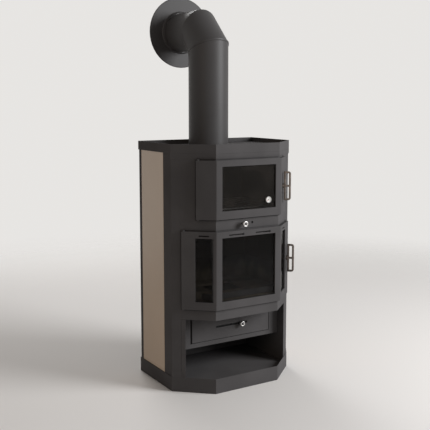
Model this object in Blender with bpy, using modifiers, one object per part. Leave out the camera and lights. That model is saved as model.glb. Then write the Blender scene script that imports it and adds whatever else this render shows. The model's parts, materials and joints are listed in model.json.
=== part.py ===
"""Free-standing wood stove with an oven over the firebox, an ash drawer and a log niche.

Metres, +Z up. The front faces -Y and the wall is on the +Y side. Inside this script Y starts at
the flat front facet of the body; the empty "stove" moves it all so that the origin is on the
floor, under the middle of the whole object.
"""

import math

import bmesh
import bpy
from mathutils import Matrix, Vector

# Fits
GAP = 0.0003  # between pieces that touch
DOOR_GAP = 0.004  # open joint round each door
SLIDE_GAP = 0.0008  # between a sliding piece and its guide

# Body, seen from above: three facets in front and square behind
HALF_WIDTH = 0.2565
FRONT_HALF = 0.135
CHAMFER_DEPTH = 0.1065
BODY_DEPTH = 0.3595
WALL_DISTANCE = 0.1355  # from the back of the body to the wall
FRONT_REACH = 0.025  # how far the damper knob stands in front of the body

# Sheet thicknesses
CASING_T = 0.0025
FRAME_T = 0.003
DOOR_T = 0.005
PLINTH_T = 0.002
LINER_T = 0.002
FLUE_T = 0.002

# Heights above the floor
NICHE_FLOOR_Z = 0.035
PLINTH_TOP_Z = 0.0547
NICHE_TOP_Z = 0.143
RECESS_TOP_Z = 0.270
FIRE_DOOR_LOW_Z = 0.3095
FIRE_DOOR_HIGH_Z = 0.592
OVEN_DOOR_LOW_Z = 0.635
OVEN_DOOR_HIGH_Z = 0.844
TRAY_LOW_Z = 0.867
HOB_Z = 0.883
TRAY_RIM_Z = 0.900
HOB_T = 0.0035

# Outward steps of the plinth and the tray
PLINTH_PROUD = 0.0025
PLINTH_FLANGE = 0.028
TRAY_PROUD = 0.0025
TRAY_WALL_T = 0.002

# Side panels
PANEL_FRONT_Y = 0.1645
PANEL_BACK_INSET = 0.0185  # from the back of the body
PANEL_T = 0.006
LIP = 0.012  # how far the casing reaches behind a panel
VENT_LENGTH = 0.045
VENT_HEIGHT = 0.006
VENT_PITCH = 0.070
VENT_COUNT = 5
VENT_ROWS_Z = (0.100, 0.118, 0.800, 0.818)

# Doors: reach along the chamfer from the body's fold, windows, seal and hinge
FIRE_DOOR_REACH = 0.1231
OVEN_DOOR_REACH = 0.0697
WINDOW_HALF = 0.115
FIRE_WINDOW_Z = (0.3385, 0.5685)
OVEN_WINDOW_Z = (0.664, 0.822)
SIDE_WINDOW = (0.0116, 0.0768)  # from the door's fold
AIR_SLOT = (0.028, 0.087)  # from the middle of the door
SIDE_AIR_SLOT = (0.027, 0.064)  # from the door's fold
AIR_SLOT_Z = (0.5752, 0.5797)
SEAL_D = 0.008
SEAL_INSET = 0.008  # of the rope's centre, from the top and bottom edges
SEAL_SIDE_INSET = 0.014  # and from the upright edges
RIM_T = 0.003
RIM_DEPTH = 0.008
RIM_STEP = 0.0005
HINGE_INSET = 0.006  # of the hinge axis, from the door's edge and from its face
PIN_D = 0.005
PIN_HOLE_D = 0.0058
PIN_DEPTH = 0.008
LUG_R = 0.005
LUG_T = 0.003
DOOR_FOLD_R = 0.006
FOLD_STEPS = 3
GLASS_T = 0.004
GLASS_LAP = 0.006
RETAINER_T = 0.002
RETAINER_LAP = 0.010

# Openings of the fixed frames behind the doors
FIRE_MOUTH_REACH = 0.104
FIRE_MOUTH_Z = (0.3225, 0.579)
OVEN_MOUTH_REACH = 0.0439
OVEN_MOUTH_Z = (0.648, 0.831)
FRAME_LAP = 0.008  # of a frame behind the casing round its door

# Oven and firebox
OVEN_HALF = 0.168
OVEN_BACK_SPACE = 0.0595  # to the back of the body
OVEN_T = 0.0025
RACK_Z = 0.660
RACK_T = 0.004
RACK_BAR = 0.006
RACK_SLOTS = 11
RACK_FRONT_Y = 0.050
FIREBOX_BACK_SPACE = 0.0305
FIREBOX_TOP_Z = 0.600
FIREBOX_T = 0.003
BRICK_T = 0.025
FLOOR_BRICK_T = 0.020
BRICK_FRONT_SPACE = 0.0194  # behind the firebox's mouth
SMOKE_SPACE = 0.060  # between the bricks and the firebox's top
BAFFLE_FRONT_Y = 0.115
BAFFLE_T = 0.020
GRATE_HALF = 0.070
GRATE_Y = (0.120, 0.240)
GRATE_T = 0.012
GRATE_LEDGE = 0.010
GRATE_SLOTS = 9
GRATE_BAR = 0.007
GUARD_OFFSET = -0.012
GUARD_REACH = 0.055
GUARD_TOP_Z = 0.3655
SMOKE_HALF = 0.150
SMOKE_OUTLET = (0.044, 0.011)  # from the back of the firebox

# Damper
DAMPER_X = -0.024
DAMPER_Z = 0.615
DAMPER_ROD_D = 0.006
DAMPER_HOLE_D = 0.0075
DAMPER_Y = (0.150, 0.220)
DAMPER_HALF = 0.040
DAMPER_LAP = 0.010
DAMPER_T = 0.003
SMALL_HOLE_X = 0.019
SMALL_HOLE_D = 0.0065

# Ash drawer and primary air
ASH_FRAME_Y = 0.1125
ASH_MOUTH_GAP = 0.0045  # each side of the drawer
ASH_MOUTH_Z = (0.160, 0.265)
RECESS_REACH = 0.1106
NICHE_BACK_SPACE = 0.0245
DRAWER_HALF = 0.171
DRAWER_Z = (0.163, 0.262)
DRAWER_PROUD = 0.004
DRAWER_RETURN = 0.015
ASH_TRAY_BACK_SPACE = 0.0545
TRAY_TOP_Z = 0.236
RUNNER_HALF = 0.008
RUNNER_X = 0.125
RUNNER_TOP_Z = 0.163
AIR_SLIDE_SLOT = (-0.067, 0.071)
AIR_SLIDE_Z = 0.210
AIR_SLIDE_SLOT_H = 0.0075
AIR_SLIDE_X = 0.040
AIR_SLIDE_HALF = 0.038
AIR_SLIDE_HEIGHT = 0.024
AIR_SLIDE_T = 0.002
KNOB_D = 0.022
KNOB_T = 0.016
KNOB_STEM_D = 0.0055
KNOB_STANDOFF = 0.004

# Handles: ladder plates that turn on a spindle
HANDLE_HEIGHT = 0.107
HANDLE_IN = 0.005  # from the door's face to the ladder
HANDLE_OUT = 0.0305
HANDLE_BAR = 0.007
HANDLE_T = 0.008
HANDLE_CORNER_R = 0.009
HANDLE_EDGE_R = 0.0012
SPINDLE_D = 0.008
SPINDLE_HOLE_D = 0.0095
BOSS_D = 0.018
FIRE_SPINDLE_REACH = 0.093
FIRE_SPINDLE_Z = 0.454
FIRE_TONGUE = 0.0150
OVEN_SPINDLE_REACH = 0.020
OVEN_SPINDLE_Z = 0.739
OVEN_TONGUE = 0.0285
TONGUE_WIDTH = 0.007
TONGUE_T = 0.003
TONGUE_GAP = 0.001

# Oven thermometer on the glass
DIAL_X = 0.0835
DIAL_Z = 0.6936
DIAL_D = 0.0225
DIAL_T = 0.0055
DIAL_WELL = 0.002
NEEDLE_WIDTH = 0.0016
NEEDLE_POINT = 0.0006

# Flue
FLUE_BACK_SPACE = 0.0835  # from the flue's axis to the back of the body
FLUE_D = 0.1526
FLUE_BEND_Z = 1.250
FLUE_AXIS_Z = 1.3204
FLUE_SIDES = 40
BEAD = 0.002
COLLAR_TOP_Z = 0.925
COLLAR_FLANGE_R = 0.0795
COLLAR_T = 0.004
ROSETTE_D = 0.278
ROSETTE_T = 0.0025
ROSETTE_NECK = 0.014

# Values that follow from those above
TURN = math.atan2(CHAMFER_DEPTH, HALF_WIDTH - FRONT_HALF)
TAN_HALF = math.tan(TURN / 2)
ALONG = Vector((math.cos(TURN), math.sin(TURN)))
OUT = Vector((math.sin(TURN), -math.cos(TURN)))
WALL_Y = BODY_DEPTH + WALL_DISTANCE
PANEL_BACK_Y = BODY_DEPTH - PANEL_BACK_INSET
OVEN_BACK_Y = BODY_DEPTH - OVEN_BACK_SPACE
FIREBOX_BACK_Y = BODY_DEPTH - FIREBOX_BACK_SPACE
FIREBOX_HALF = FRONT_HALF + FIRE_MOUTH_REACH * ALONG.x
BRICK_FRONT_Y = FIRE_MOUTH_REACH * ALONG.y + BRICK_FRONT_SPACE
BRICK_TOP_Z = FIREBOX_TOP_Z - SMOKE_SPACE
SMOKE_Y = tuple(FIREBOX_BACK_Y - space for space in SMOKE_OUTLET)
NICHE_BACK_Y = BODY_DEPTH - NICHE_BACK_SPACE
ASH_MOUTH_HALF = DRAWER_HALF + ASH_MOUTH_GAP
ASH_TRAY_BACK_Y = BODY_DEPTH - ASH_TRAY_BACK_SPACE
FLUE_Y = BODY_DEPTH - FLUE_BACK_SPACE
SHIFT_Y = (FRONT_REACH - WALL_Y) / 2
FRAME_FACE = -(CASING_T + GAP)
FRAME_BACK = FRAME_FACE - FRAME_T
SKIN_BACK = FRAME_FACE + SEAL_D + 2 * GAP
DOOR_FACE = SKIN_BACK + DOOR_T
PLATE_TOP_Z = HOB_Z - HOB_T - GAP
CASING_LOW_Z = NICHE_FLOOR_Z + GAP
FIRE_OPENING_Z = (FIRE_DOOR_LOW_Z - DOOR_GAP, FIRE_DOOR_HIGH_Z + DOOR_GAP)
OVEN_OPENING_Z = (OVEN_DOOR_LOW_Z - DOOR_GAP, OVEN_DOOR_HIGH_Z + DOOR_GAP)
CHEEK_REACH = FIRE_DOOR_REACH + DOOR_GAP
FLUE_R = FLUE_D / 2
DRAWER_FACE_Y = ASH_FRAME_Y - DRAWER_PROUD


def clear_scene():
    for obj in list(bpy.data.objects):
        bpy.data.objects.remove(obj)


def new_collection(name):
    collection = bpy.data.collections.new(name)
    bpy.context.scene.collection.children.link(collection)
    return collection


def new_material(name, colour, roughness, metallic=0.0, alpha=1.0):
    material = bpy.data.materials.new(name)
    material.use_nodes = True
    shader = material.node_tree.nodes["Principled BSDF"]
    shader.inputs["Base Color"].default_value = (*colour, 1.0)
    shader.inputs["Roughness"].default_value = roughness
    shader.inputs["Metallic"].default_value = metallic
    shader.inputs["Alpha"].default_value = alpha
    return material


clear_scene()
PARTS = new_collection("Heating stove with oven")
CUTTERS = new_collection("Cutters")

ANTHRACITE = new_material("Anthracite paint", (0.055, 0.052, 0.052), 0.55, 0.3)
BEIGE = new_material("Beige enamel", (0.52, 0.44, 0.34), 0.45)
FLUE_PAINT = new_material("Flue paint", (0.045, 0.043, 0.043), 0.6, 0.2)
BLACK_STEEL = new_material("Black steel", (0.02, 0.02, 0.02), 0.7, 0.3)
PLAIN_STEEL = new_material("Plain steel", (0.35, 0.35, 0.36), 0.4, 1.0)
HANDLE_STEEL = new_material("Handle steel", (0.20, 0.17, 0.15), 0.35, 1.0)
CHROME = new_material("Chrome", (0.85, 0.85, 0.86), 0.1, 1.0)
GLASS = new_material("Ceramic glass", (0.03, 0.025, 0.022), 0.05, 0.0, 0.35)
FIREBRICK = new_material("Firebrick", (0.50, 0.42, 0.30), 0.9)
CAST_IRON = new_material("Cast iron", (0.03, 0.03, 0.03), 0.75, 0.5)
ROPE = new_material("Seal rope", (0.10, 0.10, 0.10), 0.95)
DIAL = new_material("Dial white", (0.80, 0.80, 0.78), 0.35)
RED = new_material("Needle red", (0.50, 0.03, 0.02), 0.4)

ROOT = bpy.data.objects.new("stove", None)
ROOT.location = (0, SHIFT_Y, 0)
PARTS.objects.link(ROOT)


def add_object(name, mesh, material=None, cutter=False):
    obj = bpy.data.objects.new(name, mesh)
    obj.parent = ROOT
    (CUTTERS if cutter else PARTS).objects.link(obj)
    if cutter:
        obj.hide_render = True
        obj.display_type = "WIRE"
    if material:
        mesh.materials.append(material)
    return obj


def finish_mesh(name, bm):
    mesh = bpy.data.meshes.new(name)
    bm.to_mesh(mesh)
    bm.free()
    return mesh


def smooth(obj, angle=35):
    obj.data.shade_smooth()
    obj.data.set_sharp_from_angle(angle=math.radians(angle))


def boolean(obj, other, operation, solver="EXACT"):
    modifier = obj.modifiers.new(other.name, "BOOLEAN")
    modifier.operation = operation
    modifier.solver = solver
    modifier.object = other


def cut(obj, *cutters):
    for cutter in cutters:
        boolean(obj, cutter, "DIFFERENCE")


def join(obj, *others, solver="EXACT"):
    for other in others:
        boolean(obj, other, "UNION", solver)


def bevel(obj, width, segments=2):
    modifier = obj.modifiers.new("Edges", "BEVEL")
    modifier.width = width
    modifier.segments = segments
    modifier.limit_method = "ANGLE"
    modifier.angle_limit = math.radians(40)


# Plan lines of the three front facets


def facet(reach, offset, side=1):
    """A plan point on a chamfer, at a reach from the body's fold and moved out by an offset."""
    point = Vector((FRONT_HALF, 0)) + reach * ALONG + offset * OUT
    return Vector((side * point.x, point.y))


def fold(offset, side=1):
    return Vector((side * (FRONT_HALF + offset * TAN_HALF), -offset))


def front_line(offset, reach):
    """The facets from left to right, so that the outer side is on the right of the line."""
    return [facet(reach, offset, -1), fold(offset, -1), fold(offset), facet(reach, offset)]


def station(reach, offset):
    """Distance from the middle of a front line to that reach."""
    return FRONT_HALF + reach + 2 * offset * TAN_HALF


def from_fold(distance, offset):
    """Distance from the middle of a front line to a place past its own fold."""
    return FRONT_HALF + offset * TAN_HALF + distance


def reach_at(x, offset):
    return (x - FRONT_HALF - offset * OUT.x) / ALONG.x


def clipped_line(offset, x):
    """The front line as far out as x on both sides."""
    return front_line(offset, reach_at(x, offset))


def body_outline(offset, back_offset=None):
    """The whole plan, anticlockwise from above."""
    x = HALF_WIDTH + offset
    back = BODY_DEPTH + (offset if back_offset is None else back_offset)
    return [Vector((-x, back)), *clipped_line(offset, x), Vector((x, back))]


def circle(centre, radius, sides):
    angles = [2 * math.pi * i / sides for i in range(sides)]
    return [Vector((centre[0] + radius * math.cos(a), centre[1] + radius * math.sin(a))) for a in angles]


def rectangle(left, right, low, high):
    return [Vector((left, low)), Vector((right, low)), Vector((right, high)), Vector((left, high))]


# Builders of one shape each


def folded_places(plan, marks, radius):
    """(distance, point) pairs along a plan line: its ends, its rounded folds and the marks."""
    places = []
    run = 0.0
    runs = [0.0]
    for start, end in zip(plan, plan[1:]):
        run += (end - start).length
        runs.append(run)
    for index, point in enumerate(plan):
        if radius == 0 or index in (0, len(plan) - 1):
            places.append((runs[index], point))
            continue
        before = (point - plan[index - 1]).normalized()
        after = (plan[index + 1] - point).normalized()
        turn = math.atan2(before.x * after.y - before.y * after.x, before.dot(after))
        reach = radius * math.tan(abs(turn) / 2)
        start = point - before * reach
        left = Vector((-before.y, before.x)) * math.copysign(radius, turn)
        centre = start + left
        for step in range(FOLD_STEPS + 1):
            part = step / FOLD_STEPS
            spoke = (start - centre).to_3d()
            spoke.rotate(Matrix.Rotation(turn * part, 3, "Z"))
            places.append((runs[index] + reach * (2 * part - 1), centre + spoke.to_2d()))
    for mark in marks:
        index = max(i for i in range(len(plan) - 1) if runs[i] <= mark + 1e-9)
        along = (plan[index + 1] - plan[index]).normalized()
        places.append((mark, plan[index] + along * (mark - runs[index])))
    places.sort(key=lambda place: place[0])
    kept = [places[0]]
    for place in places[1:]:
        if place[0] - kept[-1][0] > 1e-6:
            kept.append(place)
    return kept


def sheet(name, plan, low, high, thickness, material=None, holes=(), radius=0.0, cutter=False):
    """A sheet folded along upright lines. Its outer face follows the plan, whose outer side is on
    the right. Each hole is (from, to, low, high): along the sheet from its middle, and in height."""
    half = sum((end - start).length for start, end in zip(plan, plan[1:])) / 2
    marks = [edge + half for hole in holes for edge in hole[:2] if abs(edge) < half]
    places = folded_places(plan, marks, radius)
    levels = sorted({round(z, 6) for z in (low, high, *(z for hole in holes for z in hole[2:]))})
    bm = bmesh.new()
    rows = [[bm.verts.new((point.x, point.y, z)) for _, point in places] for z in levels]
    for row in range(len(levels) - 1):
        middle_z = (levels[row] + levels[row + 1]) / 2
        for column in range(len(places) - 1):
            middle_s = (places[column][0] + places[column + 1][0]) / 2 - half
            if any(a < middle_s < b and c < middle_z < d for a, b, c, d in holes):
                continue
            lower, upper = rows[row], rows[row + 1]
            bm.faces.new((lower[column], lower[column + 1], upper[column + 1], upper[column]))
    bmesh.ops.delete(bm, geom=[v for v in bm.verts if not v.link_faces], context="VERTS")
    obj = add_object(name, finish_mesh(name, bm), material, cutter)
    solidify(obj, thickness)
    return obj


def solidify(obj, thickness):
    modifier = obj.modifiers.new("Thickness", "SOLIDIFY")
    modifier.thickness = thickness
    modifier.offset = -1
    modifier.use_even_offset = True
    modifier.use_quality_normals = True


def rings(name, loops, material, thickness=0):
    """Faces through closed loops of equally many points, each anticlockwise from above. With a
    thickness it is an open shell, and without one the last loop closes onto the first."""
    bm = bmesh.new()
    rows = [[bm.verts.new(point) for point in loop] for loop in loops]
    count = len(rows[0])
    pairs = list(zip(rows, rows[1:]))
    if not thickness:
        pairs.append((rows[-1], rows[0]))
    for lower, upper in pairs:
        for i in range(count):
            j = (i + 1) % count
            bm.faces.new((lower[i], lower[j], upper[j], upper[i]))
    obj = add_object(name, finish_mesh(name, bm), material)
    if thickness:
        solidify(obj, thickness)
    return obj


def plate(name, loops, low, high, material=None, cutter=False):
    """A flat outline with any holes, filled and given a height. The first loop is the outline."""
    curve = bpy.data.curves.new(name, "CURVE")
    curve.dimensions = "2D"
    curve.fill_mode = "BOTH"
    curve.extrude = (high - low) / 2
    for loop in loops:
        spline = curve.splines.new("POLY")
        spline.points.add(len(loop) - 1)
        for point, place in zip(spline.points, loop):
            point.co = (place[0], place[1], 0, 1)
        spline.use_cyclic_u = True
    guide = bpy.data.objects.new(name + " outline", curve)
    mesh = meshed(guide)
    mesh.transform(Matrix.Translation((0, 0, (low + high) / 2)))
    return add_object(name, mesh, material, cutter)


def meshed(guide):
    """The closed mesh of a curve object, which is removed."""
    bpy.context.scene.collection.objects.link(guide)
    bpy.context.view_layer.update()
    graph = bpy.context.evaluated_depsgraph_get()
    mesh = bpy.data.meshes.new_from_object(guide.evaluated_get(graph))
    bm = bmesh.new()
    bm.from_mesh(mesh)
    bmesh.ops.remove_doubles(bm, verts=bm.verts, dist=1e-6)
    bm.to_mesh(mesh)
    bm.free()
    bpy.data.objects.remove(guide)
    return mesh


def box(name, low, high, material=None, cutter=False, frame=None):
    """A box between two corners, in the stove's axes or in a given frame."""
    size = Vector(high) - Vector(low)
    middle = (Vector(high) + Vector(low)) / 2
    bm = bmesh.new()
    bmesh.ops.create_cube(bm, size=1.0)
    bmesh.ops.scale(bm, vec=size, verts=bm.verts)
    bmesh.ops.translate(bm, vec=middle, verts=bm.verts)
    if frame:
        bmesh.ops.transform(bm, matrix=frame, verts=bm.verts)
    return add_object(name, finish_mesh(name, bm), material, cutter)


def rod(name, start, end, diameter, sides=20, material=None, cutter=False):
    """A round bar between two points."""
    start, end = Vector(start), Vector(end)
    bm = bmesh.new()
    length = (end - start).length
    radius = diameter / 2
    bmesh.ops.create_cone(bm, cap_ends=True, segments=sides, radius1=radius, radius2=radius, depth=length)
    turn = (end - start).to_track_quat("Z", "Y").to_matrix().to_4x4()
    turn.translation = (start + end) / 2
    bmesh.ops.transform(bm, matrix=turn, verts=bm.verts)
    obj = add_object(name, finish_mesh(name, bm), material, cutter)
    if not cutter:
        smooth(obj)
    return obj


def turned(name, profile, place, steps, material, closed=False):
    """A turned piece whose axis runs from the wall to the room. The profile holds (radius, height)
    pairs from its front end down its outer side, with the height towards the room."""
    bm = bmesh.new()
    points = [bm.verts.new((radius, 0, height)) for radius, height in profile]
    pairs = list(zip(points, points[1:]))
    if closed:
        pairs.append((points[-1], points[0]))
    for pair in pairs:
        bm.edges.new(pair)
    obj = add_object(name, finish_mesh(name, bm), material)
    obj.location = place
    obj.rotation_euler = (math.pi / 2, 0, 0)
    modifier = obj.modifiers.new("Turn", "SCREW")
    modifier.axis = "Z"
    modifier.steps = modifier.render_steps = steps
    modifier.use_merge_vertices = True
    modifier.merge_threshold = 0.00001
    modifier.use_smooth_shade = False
    return obj


def pivot(name, place, parent=None):
    """An empty on a joint's axis."""
    empty = bpy.data.objects.new(name, None)
    empty["place"] = list(place)
    empty.parent = parent or ROOT
    base = Vector(parent["place"]) if parent else Vector((0, 0, 0))
    empty.location = Vector(place) - base
    PARTS.objects.link(empty)
    return empty


def carry(empty, *objects):
    """Hands pieces, placed in the stove's axes, to a pivot."""
    for obj in objects:
        obj.parent = empty
        obj.location = obj.location - Vector(empty["place"])


def facet_frame(reach, offset, height, side=1):
    """A frame on a chamfer: X outwards, Y along it to the back, Z up."""
    place = facet(reach, offset, side)
    outward = Vector((side * OUT.x, OUT.y, 0))
    up = Vector((0, 0, 1))
    across = up.cross(outward)
    frame = Matrix((outward, across, up)).transposed().to_4x4()
    frame.translation = (place.x, place.y, height)
    return frame


# Fixed casing


def make_plinth():
    outside = body_outline(PLINTH_PROUD)
    inside = body_outline(PLINTH_PROUD - PLINTH_FLANGE)
    loops = [
        [Vector((p.x, p.y, 0)) for p in inside],
        [Vector((p.x, p.y, 0)) for p in outside],
        [Vector((p.x, p.y, PLINTH_TOP_Z)) for p in outside],
    ]
    rings("plinth", loops, ANTHRACITE, PLINTH_T)
    floor = body_outline(PLINTH_PROUD - PLINTH_T - GAP)
    plate("base_plate", [floor], PLINTH_T + GAP, NICHE_FLOOR_Z, ANTHRACITE)


def make_cheeks():
    """The casing between each side panel and the doors, folded at the outer corner."""
    behind = HALF_WIDTH - PANEL_T - GAP
    corner_reach = reach_at(HALF_WIDTH, 0)
    left = [
        Vector((-behind, PANEL_FRONT_Y + LIP)),
        Vector((-behind, PANEL_FRONT_Y)),
        Vector((-HALF_WIDTH, PANEL_FRONT_Y)),
        facet(corner_reach, 0, -1),
        facet(CHEEK_REACH, 0, -1),
    ]
    right = [Vector((-p.x, p.y)) for p in reversed(left)]
    for name, plan in (("left_cheek", left), ("right_cheek", right)):
        sheet(name, plan, CASING_LOW_Z, PLATE_TOP_Z, CASING_T, ANTHRACITE)


def make_side_panels():
    for name, side in (("left_side_panel", -1), ("right_side_panel", 1)):
        xs = sorted((side * HALF_WIDTH, side * (HALF_WIDTH - PANEL_T)))
        low = (xs[0], PANEL_FRONT_Y + GAP, CASING_LOW_Z)
        high = (xs[1], PANEL_BACK_Y - GAP, PLATE_TOP_Z)
        box(name, low, high, BEIGE)


def make_rear_cover():
    behind = HALF_WIDTH - PANEL_T - GAP
    right = [
        Vector((behind, PANEL_BACK_Y - LIP)),
        Vector((behind, PANEL_BACK_Y)),
        Vector((HALF_WIDTH, PANEL_BACK_Y)),
        Vector((HALF_WIDTH, BODY_DEPTH)),
    ]
    plan = right + [Vector((-p.x, p.y)) for p in reversed(right)]
    holes = []
    for z in VENT_ROWS_Z:
        for number in range(VENT_COUNT):
            middle = (number - (VENT_COUNT - 1) / 2) * VENT_PITCH
            ends = (middle - VENT_LENGTH / 2, middle + VENT_LENGTH / 2)
            holes.append((*ends, z - VENT_HEIGHT / 2, z + VENT_HEIGHT / 2))
    sheet("rear_cover", plan, CASING_LOW_Z, PLATE_TOP_Z, CASING_T, ANTHRACITE, holes)


def make_oven_surround():
    reach = station(OVEN_DOOR_REACH + DOOR_GAP, 0)
    hole = (-reach, reach, *OVEN_OPENING_Z)
    plan = front_line(0, CHEEK_REACH - GAP)
    low = FIRE_OPENING_Z[1]
    surround = sheet("oven_surround", plan, low, PLATE_TOP_Z, CASING_T, ANTHRACITE, [hole])
    for name, x, diameter in (
        ("damper hole", DAMPER_X, DAMPER_HOLE_D),
        ("small hole", SMALL_HOLE_X, SMALL_HOLE_D),
    ):
        ends = (x, -CASING_T, DAMPER_Z), (x, 2 * CASING_T, DAMPER_Z)
        cut(surround, rod(name, *ends, diameter, cutter=True))


def make_lower_band():
    """The band under the firebox door, with its edge returned as the roof of the recess."""
    plan = front_line(0, CHEEK_REACH - GAP)
    band = sheet("lower_band", plan, RECESS_TOP_Z, FIRE_OPENING_Z[0], CASING_T, ANTHRACITE)
    inside = CASING_T / 2
    side = facet(RECESS_REACH, 0).x - GAP - LINER_T
    back = ASH_FRAME_Y + LINER_T
    front = clipped_line(-inside, side)
    loop = [Vector((-side, back)), *front, Vector((side, back))]
    low = RECESS_TOP_Z + inside / 2
    join(band, plate("recess roof", [loop], low, low + LINER_T, cutter=True))


def make_top_tray():
    tray = plate("top_tray", [body_outline(TRAY_PROUD)], TRAY_LOW_Z, TRAY_RIM_Z, ANTHRACITE)
    inside = body_outline(TRAY_PROUD - TRAY_WALL_T)
    over = plate("tray well", [inside], HOB_Z, TRAY_RIM_Z + HOB_T, cutter=True)
    under = plate("tray underside", [inside], TRAY_LOW_Z - HOB_T, HOB_Z - HOB_T, cutter=True)
    hole_d = FLUE_D - 2 * FLUE_T - 2 * SLIDE_GAP + 2 * GAP
    ends = (0, FLUE_Y, TRAY_LOW_Z), (0, FLUE_Y, TRAY_RIM_Z)
    flue_hole = rod("tray flue hole", *ends, hole_d, FLUE_SIDES, cutter=True)
    cut(tray, over, under, flue_hole)


# Fixed frames, oven and firebox


def make_frames():
    for name, reach, mouth, mouth_z, opening_z in (
        ("oven_frame", OVEN_DOOR_REACH, OVEN_MOUTH_REACH, OVEN_MOUTH_Z, OVEN_OPENING_Z),
        ("firebox_frame", FIRE_DOOR_REACH, FIRE_MOUTH_REACH, FIRE_MOUTH_Z, FIRE_OPENING_Z),
    ):
        plan = front_line(FRAME_FACE, reach + DOOR_GAP + FRAME_LAP)
        edge = station(mouth, FRAME_FACE)
        low, high = opening_z[0] - FRAME_LAP, opening_z[1] + FRAME_LAP
        sheet(name, plan, low, high, FRAME_T, ANTHRACITE, [(-edge, edge, *mouth_z)])


def wall_line(half, back, thickness):
    """Plan of three box walls behind a frame, from right to left, with the outer side outwards."""
    outside = half + thickness
    reach = reach_at(outside, FRAME_BACK - GAP)
    front = facet(reach, FRAME_BACK - GAP).y
    right = [Vector((outside, front)), Vector((outside, back + thickness))]
    return right + [Vector((-p.x, p.y)) for p in reversed(right)]


def between_walls(half, back):
    """Plan of a plate that fits between those walls and up to the frame."""
    x = half - GAP
    y = back - GAP
    return [Vector((-x, y)), *clipped_line(FRAME_BACK - GAP, x), Vector((x, y))]


def make_oven():
    low, high = OVEN_MOUTH_Z
    walls = wall_line(OVEN_HALF, OVEN_BACK_Y, OVEN_T)
    sheet("oven_walls", walls, low - OVEN_T, high + OVEN_T, OVEN_T, BLACK_STEEL)
    loop = between_walls(OVEN_HALF, OVEN_BACK_Y)
    plate("oven_floor", [loop], low - OVEN_T, low, BLACK_STEEL)
    plate("oven_top", [loop], high, high + OVEN_T, BLACK_STEEL)


def make_oven_rack():
    """A grid of bars on two runners that stand on the oven floor."""
    half = OVEN_HALF - SLIDE_GAP
    back = OVEN_BACK_Y - SLIDE_GAP
    pitch = (2 * half - RACK_BAR) / RACK_SLOTS
    loops = [rectangle(-half, half, RACK_FRONT_Y, back)]
    for number in range(RACK_SLOTS):
        left = -half + RACK_BAR + number * pitch
        loops.append(rectangle(left, left + pitch - RACK_BAR, RACK_FRONT_Y + RACK_BAR, back - RACK_BAR))
    rack = plate("oven_rack", loops, RACK_Z, RACK_Z + RACK_T, PLAIN_STEEL)
    inner = half - RACK_BAR / 2
    for side in (-1, 1):
        xs = sorted((side * (inner - RACK_BAR / 4), side * (inner + RACK_BAR / 4)))
        low = (xs[0], RACK_FRONT_Y + 2 * RACK_BAR, OVEN_MOUTH_Z[0] + GAP)
        high = (xs[1], back - 2 * RACK_BAR, RACK_Z + RACK_T / 2)
        join(rack, box(f"rack runner {side}", low, high, cutter=True), solver="MANIFOLD")


def make_firebox():
    low = FIRE_MOUTH_Z[0]
    plan = wall_line(FIREBOX_HALF, FIREBOX_BACK_Y, FIREBOX_T)
    top = FIREBOX_TOP_Z + FIREBOX_T
    sheet("firebox_walls", plan, low - FIREBOX_T, top, FIREBOX_T, BLACK_STEEL)
    loop = between_walls(FIREBOX_HALF, FIREBOX_BACK_Y)
    ledge = GRATE_LEDGE
    half = GRATE_HALF - ledge
    ash_hole = rectangle(-half, half, GRATE_Y[0] + ledge, GRATE_Y[1] - ledge)
    plate("firebox_floor", [loop, ash_hole], low - FIREBOX_T, low, BLACK_STEEL)
    smoke_hole = rectangle(-SMOKE_HALF, SMOKE_HALF, *SMOKE_Y)
    direct_hole = rectangle(DAMPER_X - DAMPER_HALF, DAMPER_X + DAMPER_HALF, *DAMPER_Y)
    plate("firebox_top", [loop, smoke_hole, direct_hole], FIREBOX_TOP_Z, top, BLACK_STEEL)


def make_bricks():
    low = FIRE_MOUTH_Z[0] + GAP
    inner = FIREBOX_HALF - GAP
    front_of_back = FIREBOX_BACK_Y - GAP - BRICK_T
    back = (inner, FIREBOX_BACK_Y - GAP, BRICK_TOP_Z)
    box("firebrick_back", (-inner, front_of_back, low), back, FIREBRICK)
    for name, side in (("firebrick_left", -1), ("firebrick_right", 1)):
        xs = sorted((side * inner, side * (inner - BRICK_T)))
        high = (xs[1], front_of_back - GAP, BRICK_TOP_Z)
        box(name, (xs[0], BRICK_FRONT_Y, low), high, FIREBRICK)
    x = inner - BRICK_T - GAP
    y = front_of_back - GAP
    loop = [Vector((-x, y)), *clipped_line(GUARD_OFFSET + FRAME_T, x), Vector((x, y))]
    seat = rectangle(-GRATE_HALF, GRATE_HALF, *GRATE_Y)
    plate("firebrick_floor", [loop, seat], low, low + FLOOR_BRICK_T, FIREBRICK)
    baffle = rectangle(-inner, inner, BAFFLE_FRONT_Y, SMOKE_Y[0] - DAMPER_LAP)
    plate("baffle_plate", [baffle], BRICK_TOP_Z + GAP, BRICK_TOP_Z + GAP + BAFFLE_T, FIREBRICK)


def make_grate():
    half = GRATE_HALF - SLIDE_GAP
    front, back = GRATE_Y[0] + SLIDE_GAP, GRATE_Y[1] - SLIDE_GAP
    pitch = (2 * half - GRATE_BAR) / GRATE_SLOTS
    loops = [rectangle(-half, half, front, back)]
    for number in range(GRATE_SLOTS):
        left = -half + GRATE_BAR + number * pitch
        slot = rectangle(left, left + pitch - GRATE_BAR, front + GRATE_LEDGE, back - GRATE_LEDGE)
        loops.append(slot)
    low = FIRE_MOUTH_Z[0] + GAP
    plate("grate", loops, low, low + GRATE_T, CAST_IRON)


def make_log_guard():
    plan = front_line(GUARD_OFFSET, GUARD_REACH)
    low = FIRE_MOUTH_Z[0] + FLOOR_BRICK_T + 2 * GAP
    sheet("log_guard", plan, low, GUARD_TOP_Z, FRAME_T, CAST_IRON)


# Niche and ash compartment


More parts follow.
